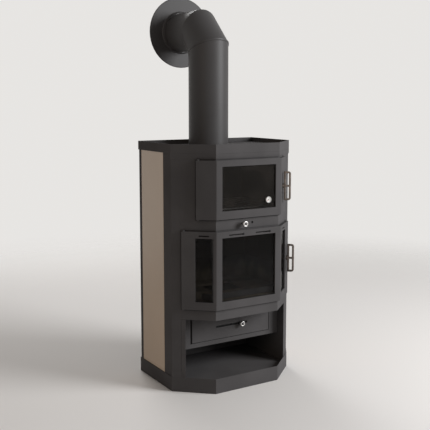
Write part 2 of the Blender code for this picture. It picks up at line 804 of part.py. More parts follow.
def make_niche():
    corner = facet(RECESS_REACH, 0)
    right = [
        Vector((corner.x, NICHE_BACK_Y)),
        corner,
        facet(CHEEK_REACH - GAP, 0),
    ]
    plan = [Vector((-p.x, p.y)) for p in reversed(right)] + right
    sheet("niche_walls", plan, CASING_LOW_Z, RECESS_TOP_Z - GAP, LINER_T, ANTHRACITE)


def make_ash_compartment():
    x = facet(RECESS_REACH, 0).x - GAP
    ceiling_back = NICHE_BACK_Y - GAP
    ceiling = rectangle(-x, x, ASH_FRAME_Y + LINER_T + GAP, ceiling_back)
    roof = plate("niche_ceiling", [ceiling], NICHE_TOP_Z, NICHE_TOP_Z + LINER_T, ANTHRACITE)
    for side in (-1, 1):
        middle = side * RUNNER_X
        low = (middle - RUNNER_HALF, ASH_FRAME_Y + 3 * LINER_T, NICHE_TOP_Z + LINER_T / 2)
        high = (middle + RUNNER_HALF, ceiling_back - LINER_T, RUNNER_TOP_Z)
        join(roof, box(f"drawer runner {side}", low, high, cutter=True))
    plan = [Vector((-x, ASH_FRAME_Y)), Vector((x, ASH_FRAME_Y))]
    mouth = (-ASH_MOUTH_HALF, ASH_MOUTH_HALF, *ASH_MOUTH_Z)
    low, high = NICHE_TOP_Z, RECESS_TOP_Z - GAP
    sheet("ash_frame", plan, low, high, LINER_T, ANTHRACITE, [mouth])


# Flue


def flue_loop(centre, normal, along, radius):
    """A circle about the line of a pipe, slid along the pipe onto a cutting plane."""
    side = Vector((1, 0, 0))
    forward = along.cross(side)
    loop = []
    for i in range(FLUE_SIDES):
        angle = 2 * math.pi * i / FLUE_SIDES
        spoke = radius * (math.cos(angle) * side + math.sin(angle) * forward)
        loop.append(centre + spoke - along * (spoke.dot(normal) / along.dot(normal)))
    return loop


def make_flue():
    """Upright pipe, slanting piece and level piece, mitred like a welded bend."""
    rise = FLUE_AXIS_Z - FLUE_BEND_Z
    foot = Vector((0, FLUE_Y, HOB_Z + GAP))
    bend = Vector((0, FLUE_Y, FLUE_BEND_Z))
    turn = Vector((0, FLUE_Y + rise, FLUE_AXIS_Z))
    end = Vector((0, WALL_Y, FLUE_AXIS_Z))
    up = Vector((0, 0, 1))
    slant = (turn - bend).normalized()
    level = Vector((0, 1, 0))
    first = (up + slant).normalized()
    second = (slant + level).normalized()
    nudge = GAP / 2
    below, above = bend - up * nudge, bend + slant * nudge
    before, after = turn - slant * nudge, turn + level * nudge
    inner = FLUE_R - FLUE_T
    pipe = [
        flue_loop(foot, up, up, FLUE_R),
        flue_loop(bend - up * 4 * BEAD, first, up, FLUE_R),
        flue_loop(bend - up * 3 * BEAD, first, up, FLUE_R + BEAD),
        flue_loop(below, first, up, FLUE_R + BEAD),
        flue_loop(below, first, up, inner),
        flue_loop(foot, up, up, inner),
    ]
    elbow = [
        flue_loop(above, first, slant, FLUE_R),
        flue_loop(before, second, slant, FLUE_R),
        flue_loop(before, second, slant, inner),
        flue_loop(above, first, slant, inner),
    ]
    stub = [
        flue_loop(after, second, level, FLUE_R),
        flue_loop(end, level, level, FLUE_R),
        flue_loop(end, level, level, inner),
        flue_loop(after, second, level, inner),
    ]
    for name, loops in (("flue_pipe", pipe), ("flue_elbow", elbow), ("flue_stub", stub)):
        smooth(rings(name, loops, FLUE_PAINT))


def make_flue_collar():
    """Spigot through the hob, flanged below it, with the pipe slipped over it."""
    radius = FLUE_R - FLUE_T - SLIDE_GAP
    top_of_flange = PLATE_TOP_Z
    profile = [
        (radius, COLLAR_TOP_Z),
        (radius, top_of_flange),
        (COLLAR_FLANGE_R, top_of_flange),
        (COLLAR_FLANGE_R, top_of_flange - COLLAR_T),
        (radius - COLLAR_T, top_of_flange - COLLAR_T),
        (radius - COLLAR_T, COLLAR_TOP_Z),
    ]
    loops = [
        [Vector((p.x, p.y, z)) for p in circle((0, FLUE_Y), r, FLUE_SIDES)]
        for r, z in reversed(profile)
    ]
    smooth(rings("flue_collar", loops, CAST_IRON))


def make_rosette():
    inner = FLUE_R + GAP * 2
    outer = ROSETTE_D / 2
    profile = [
        (inner, ROSETTE_NECK),
        (inner + ROSETTE_T, ROSETTE_NECK),
        (inner + 2 * ROSETTE_T, 2 * ROSETTE_T),
        (inner + 3 * ROSETTE_T, ROSETTE_T),
        (outer - ROSETTE_T, ROSETTE_T),
        (outer, ROSETTE_T / 2),
        (outer, 0),
        (inner, 0),
    ]
    place = (0, WALL_Y, FLUE_AXIS_Z)
    turned("wall_rosette", profile, place, 48, FLUE_PAINT, closed=True)


# Doors


def make_hinge(name, door_reach, height, step):
    """A lug on the fixed frame with a pin that enters the door's edge. Step is +1 over the door
    and -1 under it."""
    axis = facet(door_reach - HINGE_INSET, DOOR_FACE - HINGE_INSET, -1)
    outward = Vector((-OUT.x, OUT.y))
    along = Vector((-ALONG.x, ALONG.y))
    start = math.atan2(outward.y, outward.x)
    loop = []
    for part in range(9):
        angle = start + math.pi * (part / 8 - 0.5)
        loop.append(axis + LUG_R * Vector((math.cos(angle), math.sin(angle))))
    base = DOOR_FACE - HINGE_INSET - (FRAME_FACE + GAP)
    for side in (-1, 1):
        loop.append(axis - outward * base + along * LUG_R * side)
    middle = height + step * DOOR_GAP / 2
    lug = plate(name, [loop], middle - LUG_T / 2, middle + LUG_T / 2, PLAIN_STEEL)
    ends = (axis.x, axis.y, middle), (axis.x, axis.y, height - step * PIN_DEPTH)
    join(lug, rod(name + " pin", *ends, PIN_D, 16, cutter=True))


def make_door_shell(name, reach, low, high, holes, hinge_axis):
    """A folded skin with a rim behind its edges, windows and holes for the hinge pins."""
    plan = front_line(DOOR_FACE, reach)
    door = sheet(name, plan, low, high, DOOR_T, ANTHRACITE, holes, DOOR_FOLD_R)
    inside = DOOR_FACE - DOOR_T / 4
    rim_plan = front_line(inside, reach - RIM_STEP)
    edge = station(reach - RIM_STEP - RIM_T, inside)
    z0, z1 = low + RIM_STEP, high - RIM_STEP
    hole = (-edge, edge, z0 + RIM_T, z1 - RIM_T)
    depth = RIM_DEPTH + DOOR_T / 4
    join(door, sheet(name + " rim", rim_plan, z0, z1, depth, holes=[hole], cutter=True))
    for label, z in (("low", low), ("high", high)):
        reach_in = PIN_DEPTH + SLIDE_GAP
        ends = (*hinge_axis, z - reach_in), (*hinge_axis, z + reach_in)
        cut(door, rod(f"{name} {label} pin hole", *ends, PIN_HOLE_D, 16, cutter=True))
    return door


def make_seal(name, reach, low, high):
    """A rope all round behind the door's edge."""
    offset = SKIN_BACK - GAP - SEAL_D / 2
    line = front_line(offset, reach - SEAL_SIDE_INSET)
    curve = bpy.data.curves.new(name, "CURVE")
    curve.dimensions = "3D"
    curve.bevel_depth = SEAL_D / 2
    curve.bevel_resolution = 2
    points = [(p.x, p.y, low + SEAL_INSET) for p in line]
    points += [(p.x, p.y, high - SEAL_INSET) for p in reversed(line)]
    spline = curve.splines.new("POLY")
    spline.points.add(len(points) - 1)
    for point, place in zip(spline.points, points):
        point.co = (*place, 1)
    spline.use_cyclic_u = True
    obj = add_object(name, meshed(bpy.data.objects.new(name + " path", curve)), ROPE)
    smooth(obj, 60)
    return obj


def make_pane(name, left, right, z_range):
    """Flat glass behind the front window."""
    back = SKIN_BACK - GAP - GLASS_T
    low = (left, -(SKIN_BACK - GAP), z_range[0] - GLASS_LAP)
    high = (right, -back, z_range[1] + GLASS_LAP)
    return box(name, low, high, GLASS)


def make_side_pane(name, side):
    """Flat glass behind a side window, in the frame of its facet."""
    start, end = (d - DOOR_FACE * TAN_HALF for d in SIDE_WINDOW)
    frame = facet_frame(0, 0, 0, side)
    ys = sorted((side * (start - GLASS_LAP / 2), side * (end + GLASS_LAP)))
    front = SKIN_BACK - GAP
    low = (front - GLASS_T, ys[0], FIRE_WINDOW_Z[0] - GLASS_LAP)
    high = (front, ys[1], FIRE_WINDOW_Z[1] + GLASS_LAP)
    return box(name, low, high, GLASS, frame=frame)


def handle_outline():
    """Half the ladder's outline is an arc-cornered bracket; the door side is square."""
    half = HANDLE_HEIGHT / 2
    r = HANDLE_CORNER_R
    loop = [Vector((HANDLE_IN, -half))]
    for sign, start in ((-1, -math.pi / 2), (1, 0)):
        centre = Vector((HANDLE_OUT - r, sign * (half - r)))
        for part in range(6):
            angle = start + part / 5 * math.pi / 2
            loop.append(centre + r * Vector((math.cos(angle), math.sin(angle))))
    loop.append(Vector((HANDLE_IN, half)))
    return loop


def make_handle(name, reach, height, tongue):
    """Ladder plate, spindle and latch tongue, in the frame of the right facet."""
    frame = facet_frame(reach, DOOR_FACE, height)
    bar = HANDLE_BAR
    half = HANDLE_HEIGHT / 2
    window = (HANDLE_IN + bar, HANDLE_OUT - bar)
    loops = [
        handle_outline(),
        rectangle(*window, bar / 2, half - bar),
        rectangle(*window, bar - half, -bar / 2),
    ]
    handle = plate(name, loops, -HANDLE_T / 2, HANDLE_T / 2, HANDLE_STEEL)
    upright = Matrix.Rotation(math.pi / 2, 4, "X")
    handle.data.transform(frame @ upright)
    bevel(handle, HANDLE_EDGE_R)
    front = FRAME_BACK - TONGUE_GAP - DOOR_FACE
    back = front - TONGUE_T
    spindle_ends = frame @ Vector((back, 0, 0)), frame @ Vector((HANDLE_IN + bar / 2, 0, 0))
    spindle = rod(name + " spindle", *spindle_ends, SPINDLE_D, cutter=True)
    boss_ends = frame @ Vector((GAP, 0, 0)), frame @ Vector((HANDLE_IN + bar / 3, 0, 0))
    boss = rod(name + " boss", *boss_ends, BOSS_D, 24, cutter=True)
    wide = TONGUE_WIDTH / 2
    inset = TONGUE_T / 8
    low = (back + inset, -wide, 0)
    tip = box(name + " tongue", low, (front, wide, tongue), cutter=True, frame=frame)
    join(handle, boss, spindle, tip)
    return handle


def cut_spindle_hole(door, reach, height):
    frame = facet_frame(reach, DOOR_FACE, height)
    ends = frame @ Vector((-2 * DOOR_T, 0, 0)), frame @ Vector((DOOR_T, 0, 0))
    cut(door, rod(door.name + " spindle hole", *ends, SPINDLE_HOLE_D, cutter=True))


def hinge_axis_of(reach):
    return facet(reach - HINGE_INSET, DOOR_FACE - HINGE_INSET, -1)


def make_oven_door():
    reach = OVEN_DOOR_REACH
    low, high = OVEN_DOOR_LOW_Z, OVEN_DOOR_HIGH_Z
    axis = hinge_axis_of(reach)
    window = (-WINDOW_HALF, WINDOW_HALF, *OVEN_WINDOW_Z)
    door = make_door_shell("oven_door_frame", reach, low, high, [window], axis)
    cut_spindle_hole(door, OVEN_SPINDLE_REACH, OVEN_SPINDLE_Z)
    pane_half = WINDOW_HALF + GLASS_LAP
    pane = make_pane("oven_glass", -pane_half, pane_half, OVEN_WINDOW_Z)
    retainer_half = WINDOW_HALF + RETAINER_LAP
    y = -(SKIN_BACK - 2 * GAP - GLASS_T)
    retainer = sheet(
        "oven_glass_retainer",
        [Vector((-retainer_half, y)), Vector((retainer_half, y))],
        OVEN_WINDOW_Z[0] - RETAINER_LAP,
        OVEN_WINDOW_Z[1] + GLASS_LAP,
        RETAINER_T,
        PLAIN_STEEL,
        [window],
    )
    seal = make_seal("oven_door_seal", reach, low, high)
    empty = pivot("oven_door_axis", (*axis, (low + high) / 2))
    carry(empty, door, pane, retainer, seal, *make_thermometer(empty))
    handle = make_handle("oven_handle", OVEN_SPINDLE_REACH, OVEN_SPINDLE_Z, OVEN_TONGUE)
    place = facet(OVEN_SPINDLE_REACH, DOOR_FACE)
    carry(pivot("oven_handle_axis", (*place, OVEN_SPINDLE_Z), empty), handle)
    make_hinge("oven_hinge_upper", reach, high, 1)
    make_hinge("oven_hinge_lower", reach, low, -1)


def make_thermometer(door_axis):
    """Dial in a shallow round case on the oven glass, with a needle on its own axis."""
    radius = DIAL_D / 2
    face = DIAL_T - DIAL_WELL
    y = -(SKIN_BACK - GAP) - GAP
    profile = [
        (0, face),
        (radius - DIAL_WELL, face),
        (radius - DIAL_WELL, DIAL_T),
        (radius - DIAL_WELL / 4, DIAL_T),
        (radius, DIAL_T - DIAL_WELL / 4),
        (radius, 0),
        (0, 0),
    ]
    case = turned("thermometer_case", profile, (DIAL_X, y, DIAL_Z), 32, DIAL)
    hub_y = y - face - GAP
    thick = DIAL_WELL / 2
    needle_length = radius - 2 * DIAL_WELL
    loop = [
        Vector((-needle_length / 4, -NEEDLE_WIDTH / 2)),
        Vector((needle_length, -NEEDLE_POINT / 2)),
        Vector((needle_length, NEEDLE_POINT / 2)),
        Vector((-needle_length / 4, NEEDLE_WIDTH / 2)),
    ]
    needle = plate("thermometer_needle", [loop], 0, thick, RED)
    slope = Matrix.Rotation(math.radians(135), 4, "Y")
    facing = Matrix.Rotation(math.pi / 2, 4, "X")
    needle.data.transform(slope @ facing)
    needle.location = (DIAL_X, hub_y, DIAL_Z)
    carry(pivot("thermometer_axis", (DIAL_X, hub_y, DIAL_Z), door_axis), needle)
    return (case,)


def make_fire_door():
    reach = FIRE_DOOR_REACH
    low, high = FIRE_DOOR_LOW_Z, FIRE_DOOR_HIGH_Z
    axis = hinge_axis_of(reach)
    holes = [(-WINDOW_HALF, WINDOW_HALF, *FIRE_WINDOW_Z)]
    slots = []
    for side in (-1, 1):
        edges = sorted(side * from_fold(d, DOOR_FACE) for d in SIDE_WINDOW)
        holes.append((*edges, *FIRE_WINDOW_Z))
        slots.append((*sorted(side * d for d in AIR_SLOT), *AIR_SLOT_Z))
        edges = sorted(side * from_fold(d, DOOR_FACE) for d in SIDE_AIR_SLOT)
        slots.append((*edges, *AIR_SLOT_Z))
    door = make_door_shell("fire_door_frame", reach, low, high, holes + slots, axis)
    cut_spindle_hole(door, FIRE_SPINDLE_REACH, FIRE_SPINDLE_Z)
    pane_half = WINDOW_HALF + GLASS_LAP
    panes = [
        make_pane("front_glass", -pane_half, pane_half, FIRE_WINDOW_Z),
        make_side_pane("left_glass", -1),
        make_side_pane("right_glass", 1),
    ]
    offset = SKIN_BACK - 2 * GAP - GLASS_T
    reach_of_retainer = SIDE_WINDOW[1] - DOOR_FACE * TAN_HALF + RETAINER_LAP
    retainer = sheet(
        "fire_glass_retainer",
        front_line(offset, reach_of_retainer),
        FIRE_WINDOW_Z[0] - RETAINER_LAP,
        FIRE_WINDOW_Z[1] + GLASS_LAP,
        RETAINER_T,
        PLAIN_STEEL,
        holes,
    )
    seal = make_seal("fire_door_seal", reach, low, high)
    empty = pivot("fire_door_axis", (*axis, (low + high) / 2))
    carry(empty, door, *panes, retainer, seal)
    handle = make_handle("fire_handle", FIRE_SPINDLE_REACH, FIRE_SPINDLE_Z, FIRE_TONGUE)
    place = facet(FIRE_SPINDLE_REACH, DOOR_FACE)
    carry(pivot("fire_handle_axis", (*place, FIRE_SPINDLE_Z), empty), handle)
    make_hinge("fire_hinge_upper", reach, high, 1)
    make_hinge("fire_hinge_lower", reach, low, -1)


# Sliding pieces


def ring_knob(name, place, stem, stem_d):
    """A round knob with a dished middle and a stem towards the back. Place is its back face."""
    radius = KNOB_D / 2
    profile = [
        (0, KNOB_T * 0.55),
        (radius * 0.45, KNOB_T * 0.55),
        (radius * 0.55, KNOB_T * 0.9),
        (radius * 0.8, KNOB_T),
        (radius, KNOB_T * 0.75),
        (radius * 0.9, KNOB_T * 0.3),
        (radius * 0.5, 0),
        (stem_d / 2, 0),
        (stem_d / 2, -stem),
        (0, -stem),
    ]
    return turned(name, profile, place, 28, CHROME)


def make_damper():
    """Plate over the direct smoke opening, on a rod that comes out at the front."""
    left = DAMPER_X - DAMPER_HALF - DAMPER_LAP
    right = DAMPER_X + DAMPER_HALF + DAMPER_LAP
    low_z = FIREBOX_TOP_Z + FIREBOX_T + GAP
    low = (left, DAMPER_Y[0] - DAMPER_LAP, low_z)
    high = (right, DAMPER_Y[1] + DAMPER_LAP, low_z + DAMPER_T)
    slide = box("damper_slide", low, high, BLACK_STEEL)
    tab_y = DAMPER_Y[0]
    tab_low = (DAMPER_X - DAMPER_LAP, tab_y, low_z + DAMPER_T / 2)
    tab_high = (DAMPER_X + DAMPER_LAP, tab_y + DAMPER_T, DAMPER_Z + DAMPER_ROD_D)
    tab = box("damper tab", tab_low, tab_high, cutter=True)
    front_y = KNOB_T + GAP - FRONT_REACH
    ends = (DAMPER_X, front_y + GAP, DAMPER_Z), (DAMPER_X, tab_y + DAMPER_T / 2, DAMPER_Z)
    join(slide, tab, rod("damper rod", *ends, DAMPER_ROD_D, 16, cutter=True))
    profile_place = (DAMPER_X, front_y - GAP, DAMPER_Z)
    knob = ring_knob("damper_knob", profile_place, GAP, DAMPER_ROD_D)
    carry(pivot("damper_axis", (DAMPER_X, 0, DAMPER_Z)), slide, knob)


def make_drawer():
    y = DRAWER_FACE_Y
    back = y + DRAWER_RETURN
    left = [Vector((-DRAWER_HALF, back)), Vector((-DRAWER_HALF, y))]
    plan = left + [Vector((-p.x, p.y)) for p in reversed(left)]
    half_slot = AIR_SLIDE_SLOT_H / 2
    slot = (*AIR_SLIDE_SLOT, AIR_SLIDE_Z - half_slot, AIR_SLIDE_Z + half_slot)
    front = sheet("drawer_front", plan, *DRAWER_Z, LINER_T, ANTHRACITE, [slot])
    low = RUNNER_TOP_Z + GAP
    outside = rectangle(-DRAWER_HALF, DRAWER_HALF, back + GAP, ASH_TRAY_BACK_Y)
    tray = plate("ash_tray", [outside], low, TRAY_TOP_Z, PLAIN_STEEL)
    x = DRAWER_HALF - LINER_T
    inside = rectangle(-x, x, back + GAP + LINER_T, ASH_TRAY_BACK_Y - LINER_T)
    cut(tray, plate("tray inside", [inside], low + LINER_T, TRAY_TOP_Z + LINER_T, cutter=True))
    drawer_axis = pivot("drawer_axis", (0, y, low))
    carry(drawer_axis, front, tray)
    x0, x1 = AIR_SLIDE_X - AIR_SLIDE_HALF, AIR_SLIDE_X + AIR_SLIDE_HALF
    plate_y = y + LINER_T + GAP
    half = AIR_SLIDE_HEIGHT / 2
    low = (x0, plate_y, AIR_SLIDE_Z - half)
    high = (x1, plate_y + AIR_SLIDE_T, AIR_SLIDE_Z + half)
    slide = box("air_slide", low, high, PLAIN_STEEL)
    knob_y = y - KNOB_STANDOFF
    stem = plate_y - GAP - knob_y
    knob = ring_knob("air_knob", (AIR_SLIDE_X, knob_y, AIR_SLIDE_Z), stem, KNOB_STEM_D)
    carry(pivot("air_slide_axis", (AIR_SLIDE_X, plate_y, AIR_SLIDE_Z), drawer_axis), slide, knob)


def main():
    make_plinth()
    make_cheeks()
    make_side_panels()
    make_rear_cover()
    make_oven_surround()
    make_lower_band()
    make_top_tray()
    make_frames()
    make_oven()
    make_oven_rack()
    make_firebox()
    make_bricks()
    make_grate()
    make_log_guard()
    make_niche()
    make_ash_compartment()
    make_flue()
    make_flue_collar()
    make_rosette()
    make_oven_door()
    make_fire_door()
    make_damper()
    make_drawer()


main()
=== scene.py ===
# %% [markdown]
# A wood stove with an oven, dressed for the camera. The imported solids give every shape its
# place; this script adds what a solid can't carry: rounded sheet edges, paint, enamel, smoked
# glass, soot, ropes, screws and the marks on the thermometer.

import json
import math

import bmesh
import bpy
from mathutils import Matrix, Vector
from mathutils.bvhtree import BVHTree


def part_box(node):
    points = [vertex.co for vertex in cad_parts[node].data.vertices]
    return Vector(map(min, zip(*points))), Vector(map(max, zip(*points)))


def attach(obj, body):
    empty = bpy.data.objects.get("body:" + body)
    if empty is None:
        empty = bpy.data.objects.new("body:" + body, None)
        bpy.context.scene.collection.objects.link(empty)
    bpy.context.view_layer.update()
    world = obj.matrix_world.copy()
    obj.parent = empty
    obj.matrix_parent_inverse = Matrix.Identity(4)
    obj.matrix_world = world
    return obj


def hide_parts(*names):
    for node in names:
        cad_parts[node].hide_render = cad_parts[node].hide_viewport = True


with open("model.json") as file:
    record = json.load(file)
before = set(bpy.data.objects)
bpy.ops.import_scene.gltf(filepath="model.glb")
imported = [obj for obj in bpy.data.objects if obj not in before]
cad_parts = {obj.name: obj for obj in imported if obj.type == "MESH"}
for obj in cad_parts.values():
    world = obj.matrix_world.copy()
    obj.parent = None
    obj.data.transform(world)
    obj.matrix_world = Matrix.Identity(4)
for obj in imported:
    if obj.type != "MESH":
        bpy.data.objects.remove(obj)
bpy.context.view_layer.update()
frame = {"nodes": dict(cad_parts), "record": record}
SCENE = bpy.context.scene
BODY_OF = {}
for body, members in frame["record"]["behaviour"]["bodies"].items():
    for member in members:
        BODY_OF[member] = body
SLOT_OF = {part["node"]: part["material_slot"] for part in frame["record"]["subparts"]}
MM = 0.001

# %% [markdown]
# The camera comes first, since it decides what the eye will measure. It stands to the left of
# the stove, a little above the hob, and looks down by seven degrees, which shows the hob's plate
# and the top of the plinth. A long lens keeps the body's upright edges nearly parallel.

# %% Camera
EYE = (-1.5266, -2.5090, 1.0595)
TURN_RIGHT = 31.393
LOOK_DOWN = 7.066
FOCAL = 64.37
RISE = -0.05  # a small upright shift, as in the photograph

camera_data = bpy.data.cameras.new("Camera")
camera_data.lens = FOCAL
camera_data.shift_y = RISE
camera = bpy.data.objects.new("Camera", camera_data)
camera.location = EYE
camera.rotation_euler = (math.radians(90 - LOOK_DOWN), 0, math.radians(-TURN_RIGHT))
SCENE.collection.objects.link(camera)
SCENE.camera = camera
print("camera at", EYE, "lens", FOCAL)

# %% [markdown]
# Shader maths reads best as plain arithmetic. A Flow wraps one output socket, and each
# operator adds the Math node that does it, so mask * 0.5 + 0.2 is two nodes. A Finish wraps a
# material and adds any other node from its type, its settings and the values of its sockets.

# %% Flows
class Flow:
    def __init__(self, finish, socket):
        self.finish = finish
        self.socket = socket

    def math(self, operation, other):
        sockets = {0: self, 1: other}
        return self.finish.node("ShaderNodeMath", {"operation": operation}, sockets)

    def __add__(self, other):
        return self.math("ADD", other)

    __radd__ = __add__

    def __mul__(self, other):
        return self.math("MULTIPLY", other)

    def __pow__(self, other):
        return self.math("POWER", other)

    def most(self, other):
        return self.math("MAXIMUM", other)

    def ramp(self, low, high):
        """Rises smoothly from 0 to 1 while this flow goes from low to high."""
        settings = {"interpolation_type": "SMOOTHSTEP"}
        sockets = {0: self, 1: low, 2: high}
        return self.finish.node("ShaderNodeMapRange", settings, sockets)


# %% Finishes
class Finish:
    def __init__(self, name):
        self.material = bpy.data.materials.new(name)
        self.material.use_nodes = True
        self.tree = self.material.node_tree
        self.shader = self.tree.nodes["Principled BSDF"]

    def put(self, socket, value):
        if isinstance(value, Flow):
            self.tree.links.new(value.socket, socket)
        elif isinstance(value, (tuple, list)) and len(value) == 3 and socket.type == "RGBA":
            socket.default_value = (*value, 1)
        else:
            socket.default_value = value

    def node(self, kind, settings=None, sockets=None, out=0):
        made = self.tree.nodes.new(kind)
        for name, value in (settings or {}).items():
            setattr(made, name, value)
        for name, value in (sockets or {}).items():
            self.put(made.inputs[name], value)
        return Flow(self, made.outputs[out])

    def set(self, **values):
        for name, value in values.items():
            self.put(self.shader.inputs[name.replace("_", " ")], value)
        return self

    def place(self, scale=(1, 1, 1)):
        """Where the point is on the piece, in metres, stretched by scale."""
        spot = self.node("ShaderNodeTexCoord", out=3)
        return self.node("ShaderNodeMapping", None, {"Vector": spot, "Scale": scale})

    def noise(self, size, detail=2.0, stretch=(1, 1, 1), rough=0.5):
        """Cloudy noise whose blobs are about size metres across."""
        sockets = {"Vector": self.place(stretch), "Scale": 1 / size, "Detail": detail}
        return self.node("ShaderNodeTexNoise", None, {**sockets, "Roughness": rough})

    def mix(self, amount, first, second):
        """A colour from first to second."""
        sockets = {0: amount, 6: first, 7: second}
        return self.node("ShaderNodeMix", {"data_type": "RGBA"}, sockets, out=2)

    def axis(self, which):
        """The point's x, y or z, for 0, 1 or 2."""
        return self.node("ShaderNodeSeparateXYZ", None, {0: self.place()}, out=which)

    def bump(self, height, depth):
        """A surface that rises by depth metres where height is 1."""
        sockets = {"Height": height, "Distance": depth, "Strength": 1.0}
        return self.node("ShaderNodeBump", None, sockets)


# %% [markdown]
# The body's sheets carry a matt, heat-proof paint the colour of wet slate. Sprayed paint is
# never quite even: it clouds a little over a hand's length, and under a lens it is grainy like
# fine sandpaper. Both are noises; the grain also tilts the surface so highlights break up. The
# body's paint has next to no gloss, or the pale room would show in each face seen at a grazing
# angle. The flue's paint is blacker and keeps a little.

# %% Stove paint
GRAIN = 0.9 * MM
CLOUD = 0.16


def paint(name, colour, rough, change, gloss):
    made = Finish(name)
    clouds = made.noise(CLOUD, 3.0)
    grain = made.noise(GRAIN, 2.0)
    darker = tuple(c * (1 - change) for c in colour)
    lighter = tuple(c * (1 + change) for c in colour)
    return made.set(
        Base_Color=made.mix(clouds.ramp(0.35, 0.65) * 0.7 + grain * 0.3, darker, lighter),
        Roughness=clouds * 0.08 + grain * 0.06 + (rough - 0.07),
        Normal=made.bump(grain, 0.05 * MM),
        Specular_IOR_Level=gloss,
    )


anthracite = paint("Anthracite stove paint", (0.075, 0.0717, 0.0723), 0.52, 0.10, 0.005)
flue_paint = paint("Flue paint", (0.050, 0.0475, 0.0475), 0.46, 0.08, 0.2)
print("paints", anthracite.material.name, "and", flue_paint.material.name)

# %% [markdown]
# The side panels are sheet steel with a warm sand-coloured enamel. Enamel is fired glass, so it
# is smoother than the paint and has a clear coat, with a very slight wave that only the
# reflections show and a few darker specks from the firing.

# %% Sand enamel
enamel = Finish("Sand enamel")
wave = enamel.noise(0.035, 1.0)
speck = enamel.noise(2.2 * MM, 2.0).ramp(0.66, 0.74)
tone = enamel.noise(0.22, 2.0)
enamel.set(
    Base_Color=enamel.mix(
        speck * 0.22,
        enamel.mix(tone, (0.41, 0.306, 0.212), (0.46, 0.351, 0.252)),
        (0.28, 0.22, 0.16),
    ),
    Roughness=0.34 + speck * 0.15,
    Coat_Weight=0.25,
    Coat_Roughness=0.18,
    Normal=enamel.bump(wave, 0.25 * MM),
)

# %% [markdown]
# Inside, bare black steel gathers soot in brownish patches. The cast iron is rough from its mould.
# The log guard is pale grey: painted light, so that it shows brightly behind the smoked pane.

# %% Black steel and cast iron
black_steel = Finish("Sooty black steel")
soot = black_steel.noise(0.05, 5.0)
black_steel.set(
    Base_Color=black_steel.mix(
        soot.ramp(0.4, 0.7), (0.016, 0.015, 0.0145), (0.035, 0.029, 0.025)
    ),
    Roughness=0.62 + soot * 0.25,
    Metallic=0.2,
    Normal=black_steel.bump(soot, 0.3 * MM),
)


def iron(name, low, high):
    made = Finish(name)
    skin = made.noise(1.6 * MM, 4.0, rough=0.6)
    patch = made.noise(0.03, 3.0)
    return made.set(
        Base_Color=made.mix(patch.ramp(0.4, 0.7), low, high),
        Roughness=0.55 + skin * 0.3,
        Metallic=0.2,
        Normal=made.bump(skin, 0.35 * MM),
    )


cast_iron = iron("Cast iron", (0.060, 0.058, 0.057), (0.095, 0.086, 0.080))
# Painted light: the log guard's iron is made pale so that it shows lit behind the smoked pane.
pale_iron_painted_light = iron("Pale iron, painted light", (0.215, 0.213, 0.215), (0.28, 0.274, 0.27))

# %% [markdown]
# Firebrick is pale sand and cement, grainy and pitted, and smoke blackens it higher up. A mask
# from the height above the fire bed, broken up by a noise, mixes the clean stone with soot.

# %% Firebrick
FIRE_BED_Z = 0.345
SOOT_RISE = 0.16
firebrick = Finish("Sooty firebrick")
sand = firebrick.noise(1.4 * MM, 4.0, rough=0.65)
lick = firebrick.noise(0.06, 3.0, (1, 1, 0.45))
above = firebrick.axis(2).ramp(FIRE_BED_Z, FIRE_BED_Z + SOOT_RISE)
burnt = (above * 0.85 + lick * 0.9).ramp(0.35, 0.80)

stone = firebrick.mix(sand, (0.40, 0.325, 0.225), (0.56, 0.475, 0.35))
firebrick.set(
    Base_Color=firebrick.mix(burnt * 0.95, stone, (0.032, 0.028, 0.025)),
    Roughness=0.92,
    Normal=firebrick.bump(sand, 0.6 * MM),
)

# %% [markdown]
# Small metal parts: zinc-plated steel has a faint mottled bloom, and the ash tray is darkened by
# ash dust and by painted shade for the dark drawer it sits in. The two handles are bronzed and
# brushed along their length, and the knobs are satin chrome. The brushing is one noise stretched
# until its blobs become streaks.

# %% Zinc, and ash tray with painted shade
plain_steel = Finish("Zinc plated steel")
bloom = plain_steel.noise(9 * MM, 3.0)
plain_steel.set(
    Base_Color=plain_steel.mix(bloom.ramp(0.4, 0.6), (0.36, 0.36, 0.365), (0.46, 0.455, 0.45)),
    Roughness=0.36 + bloom * 0.16,
    Metallic=0.9,
    Normal=plain_steel.bump(plain_steel.noise(0.8 * MM), 0.02 * MM),
)

ash_and_shade_steel = Finish("Ash tray steel, ash and painted shade")
dust = ash_and_shade_steel.noise(0.045, 4.0)
specks = ash_and_shade_steel.noise(1.3 * MM, 2.0)
ash_and_shade_steel.set(
    Base_Color=ash_and_shade_steel.mix(
        dust.ramp(0.38, 0.66) * 0.75 + specks * 0.2, (0.085, 0.084, 0.083), (0.235, 0.228, 0.218)
    ),
    Roughness=0.55 + dust * 0.3,
    Metallic=0.3,
    Normal=ash_and_shade_steel.bump(specks, 0.08 * MM),
)

# %% Bronze and chrome
bronzed = Finish("Bronzed steel")
streak = bronzed.noise(0.5 * MM, 3.0, (1, 1, 0.03))
worn = bronzed.noise(0.018, 3.0)
bronzed.set(
    Base_Color=bronzed.mix(worn.ramp(0.45, 0.7), (0.155, 0.130, 0.115), (0.235, 0.20, 0.175)),
    Roughness=0.34 + streak * 0.14,
    Metallic=0.75,
    Normal=bronzed.bump(streak, 0.02 * MM),
)

chrome = Finish("Chrome")
haze = chrome.noise(6 * MM, 2.0)
chrome.set(
    Base_Color=chrome.mix(haze, (0.50, 0.49, 0.482), (0.58, 0.57, 0.562)),
    Roughness=0.27 + haze * 0.08,
    Metallic=1.0,
)

dark_centre = Finish("Knob centre")
ring = dark_centre.noise(0.6 * MM, 2.0)
dark_centre.set(
    Base_Color=dark_centre.mix(ring, (0.030, 0.030, 0.032), (0.05, 0.05, 0.052)),
    Roughness=0.38 + ring * 0.12,
    Metallic=0.4,
)

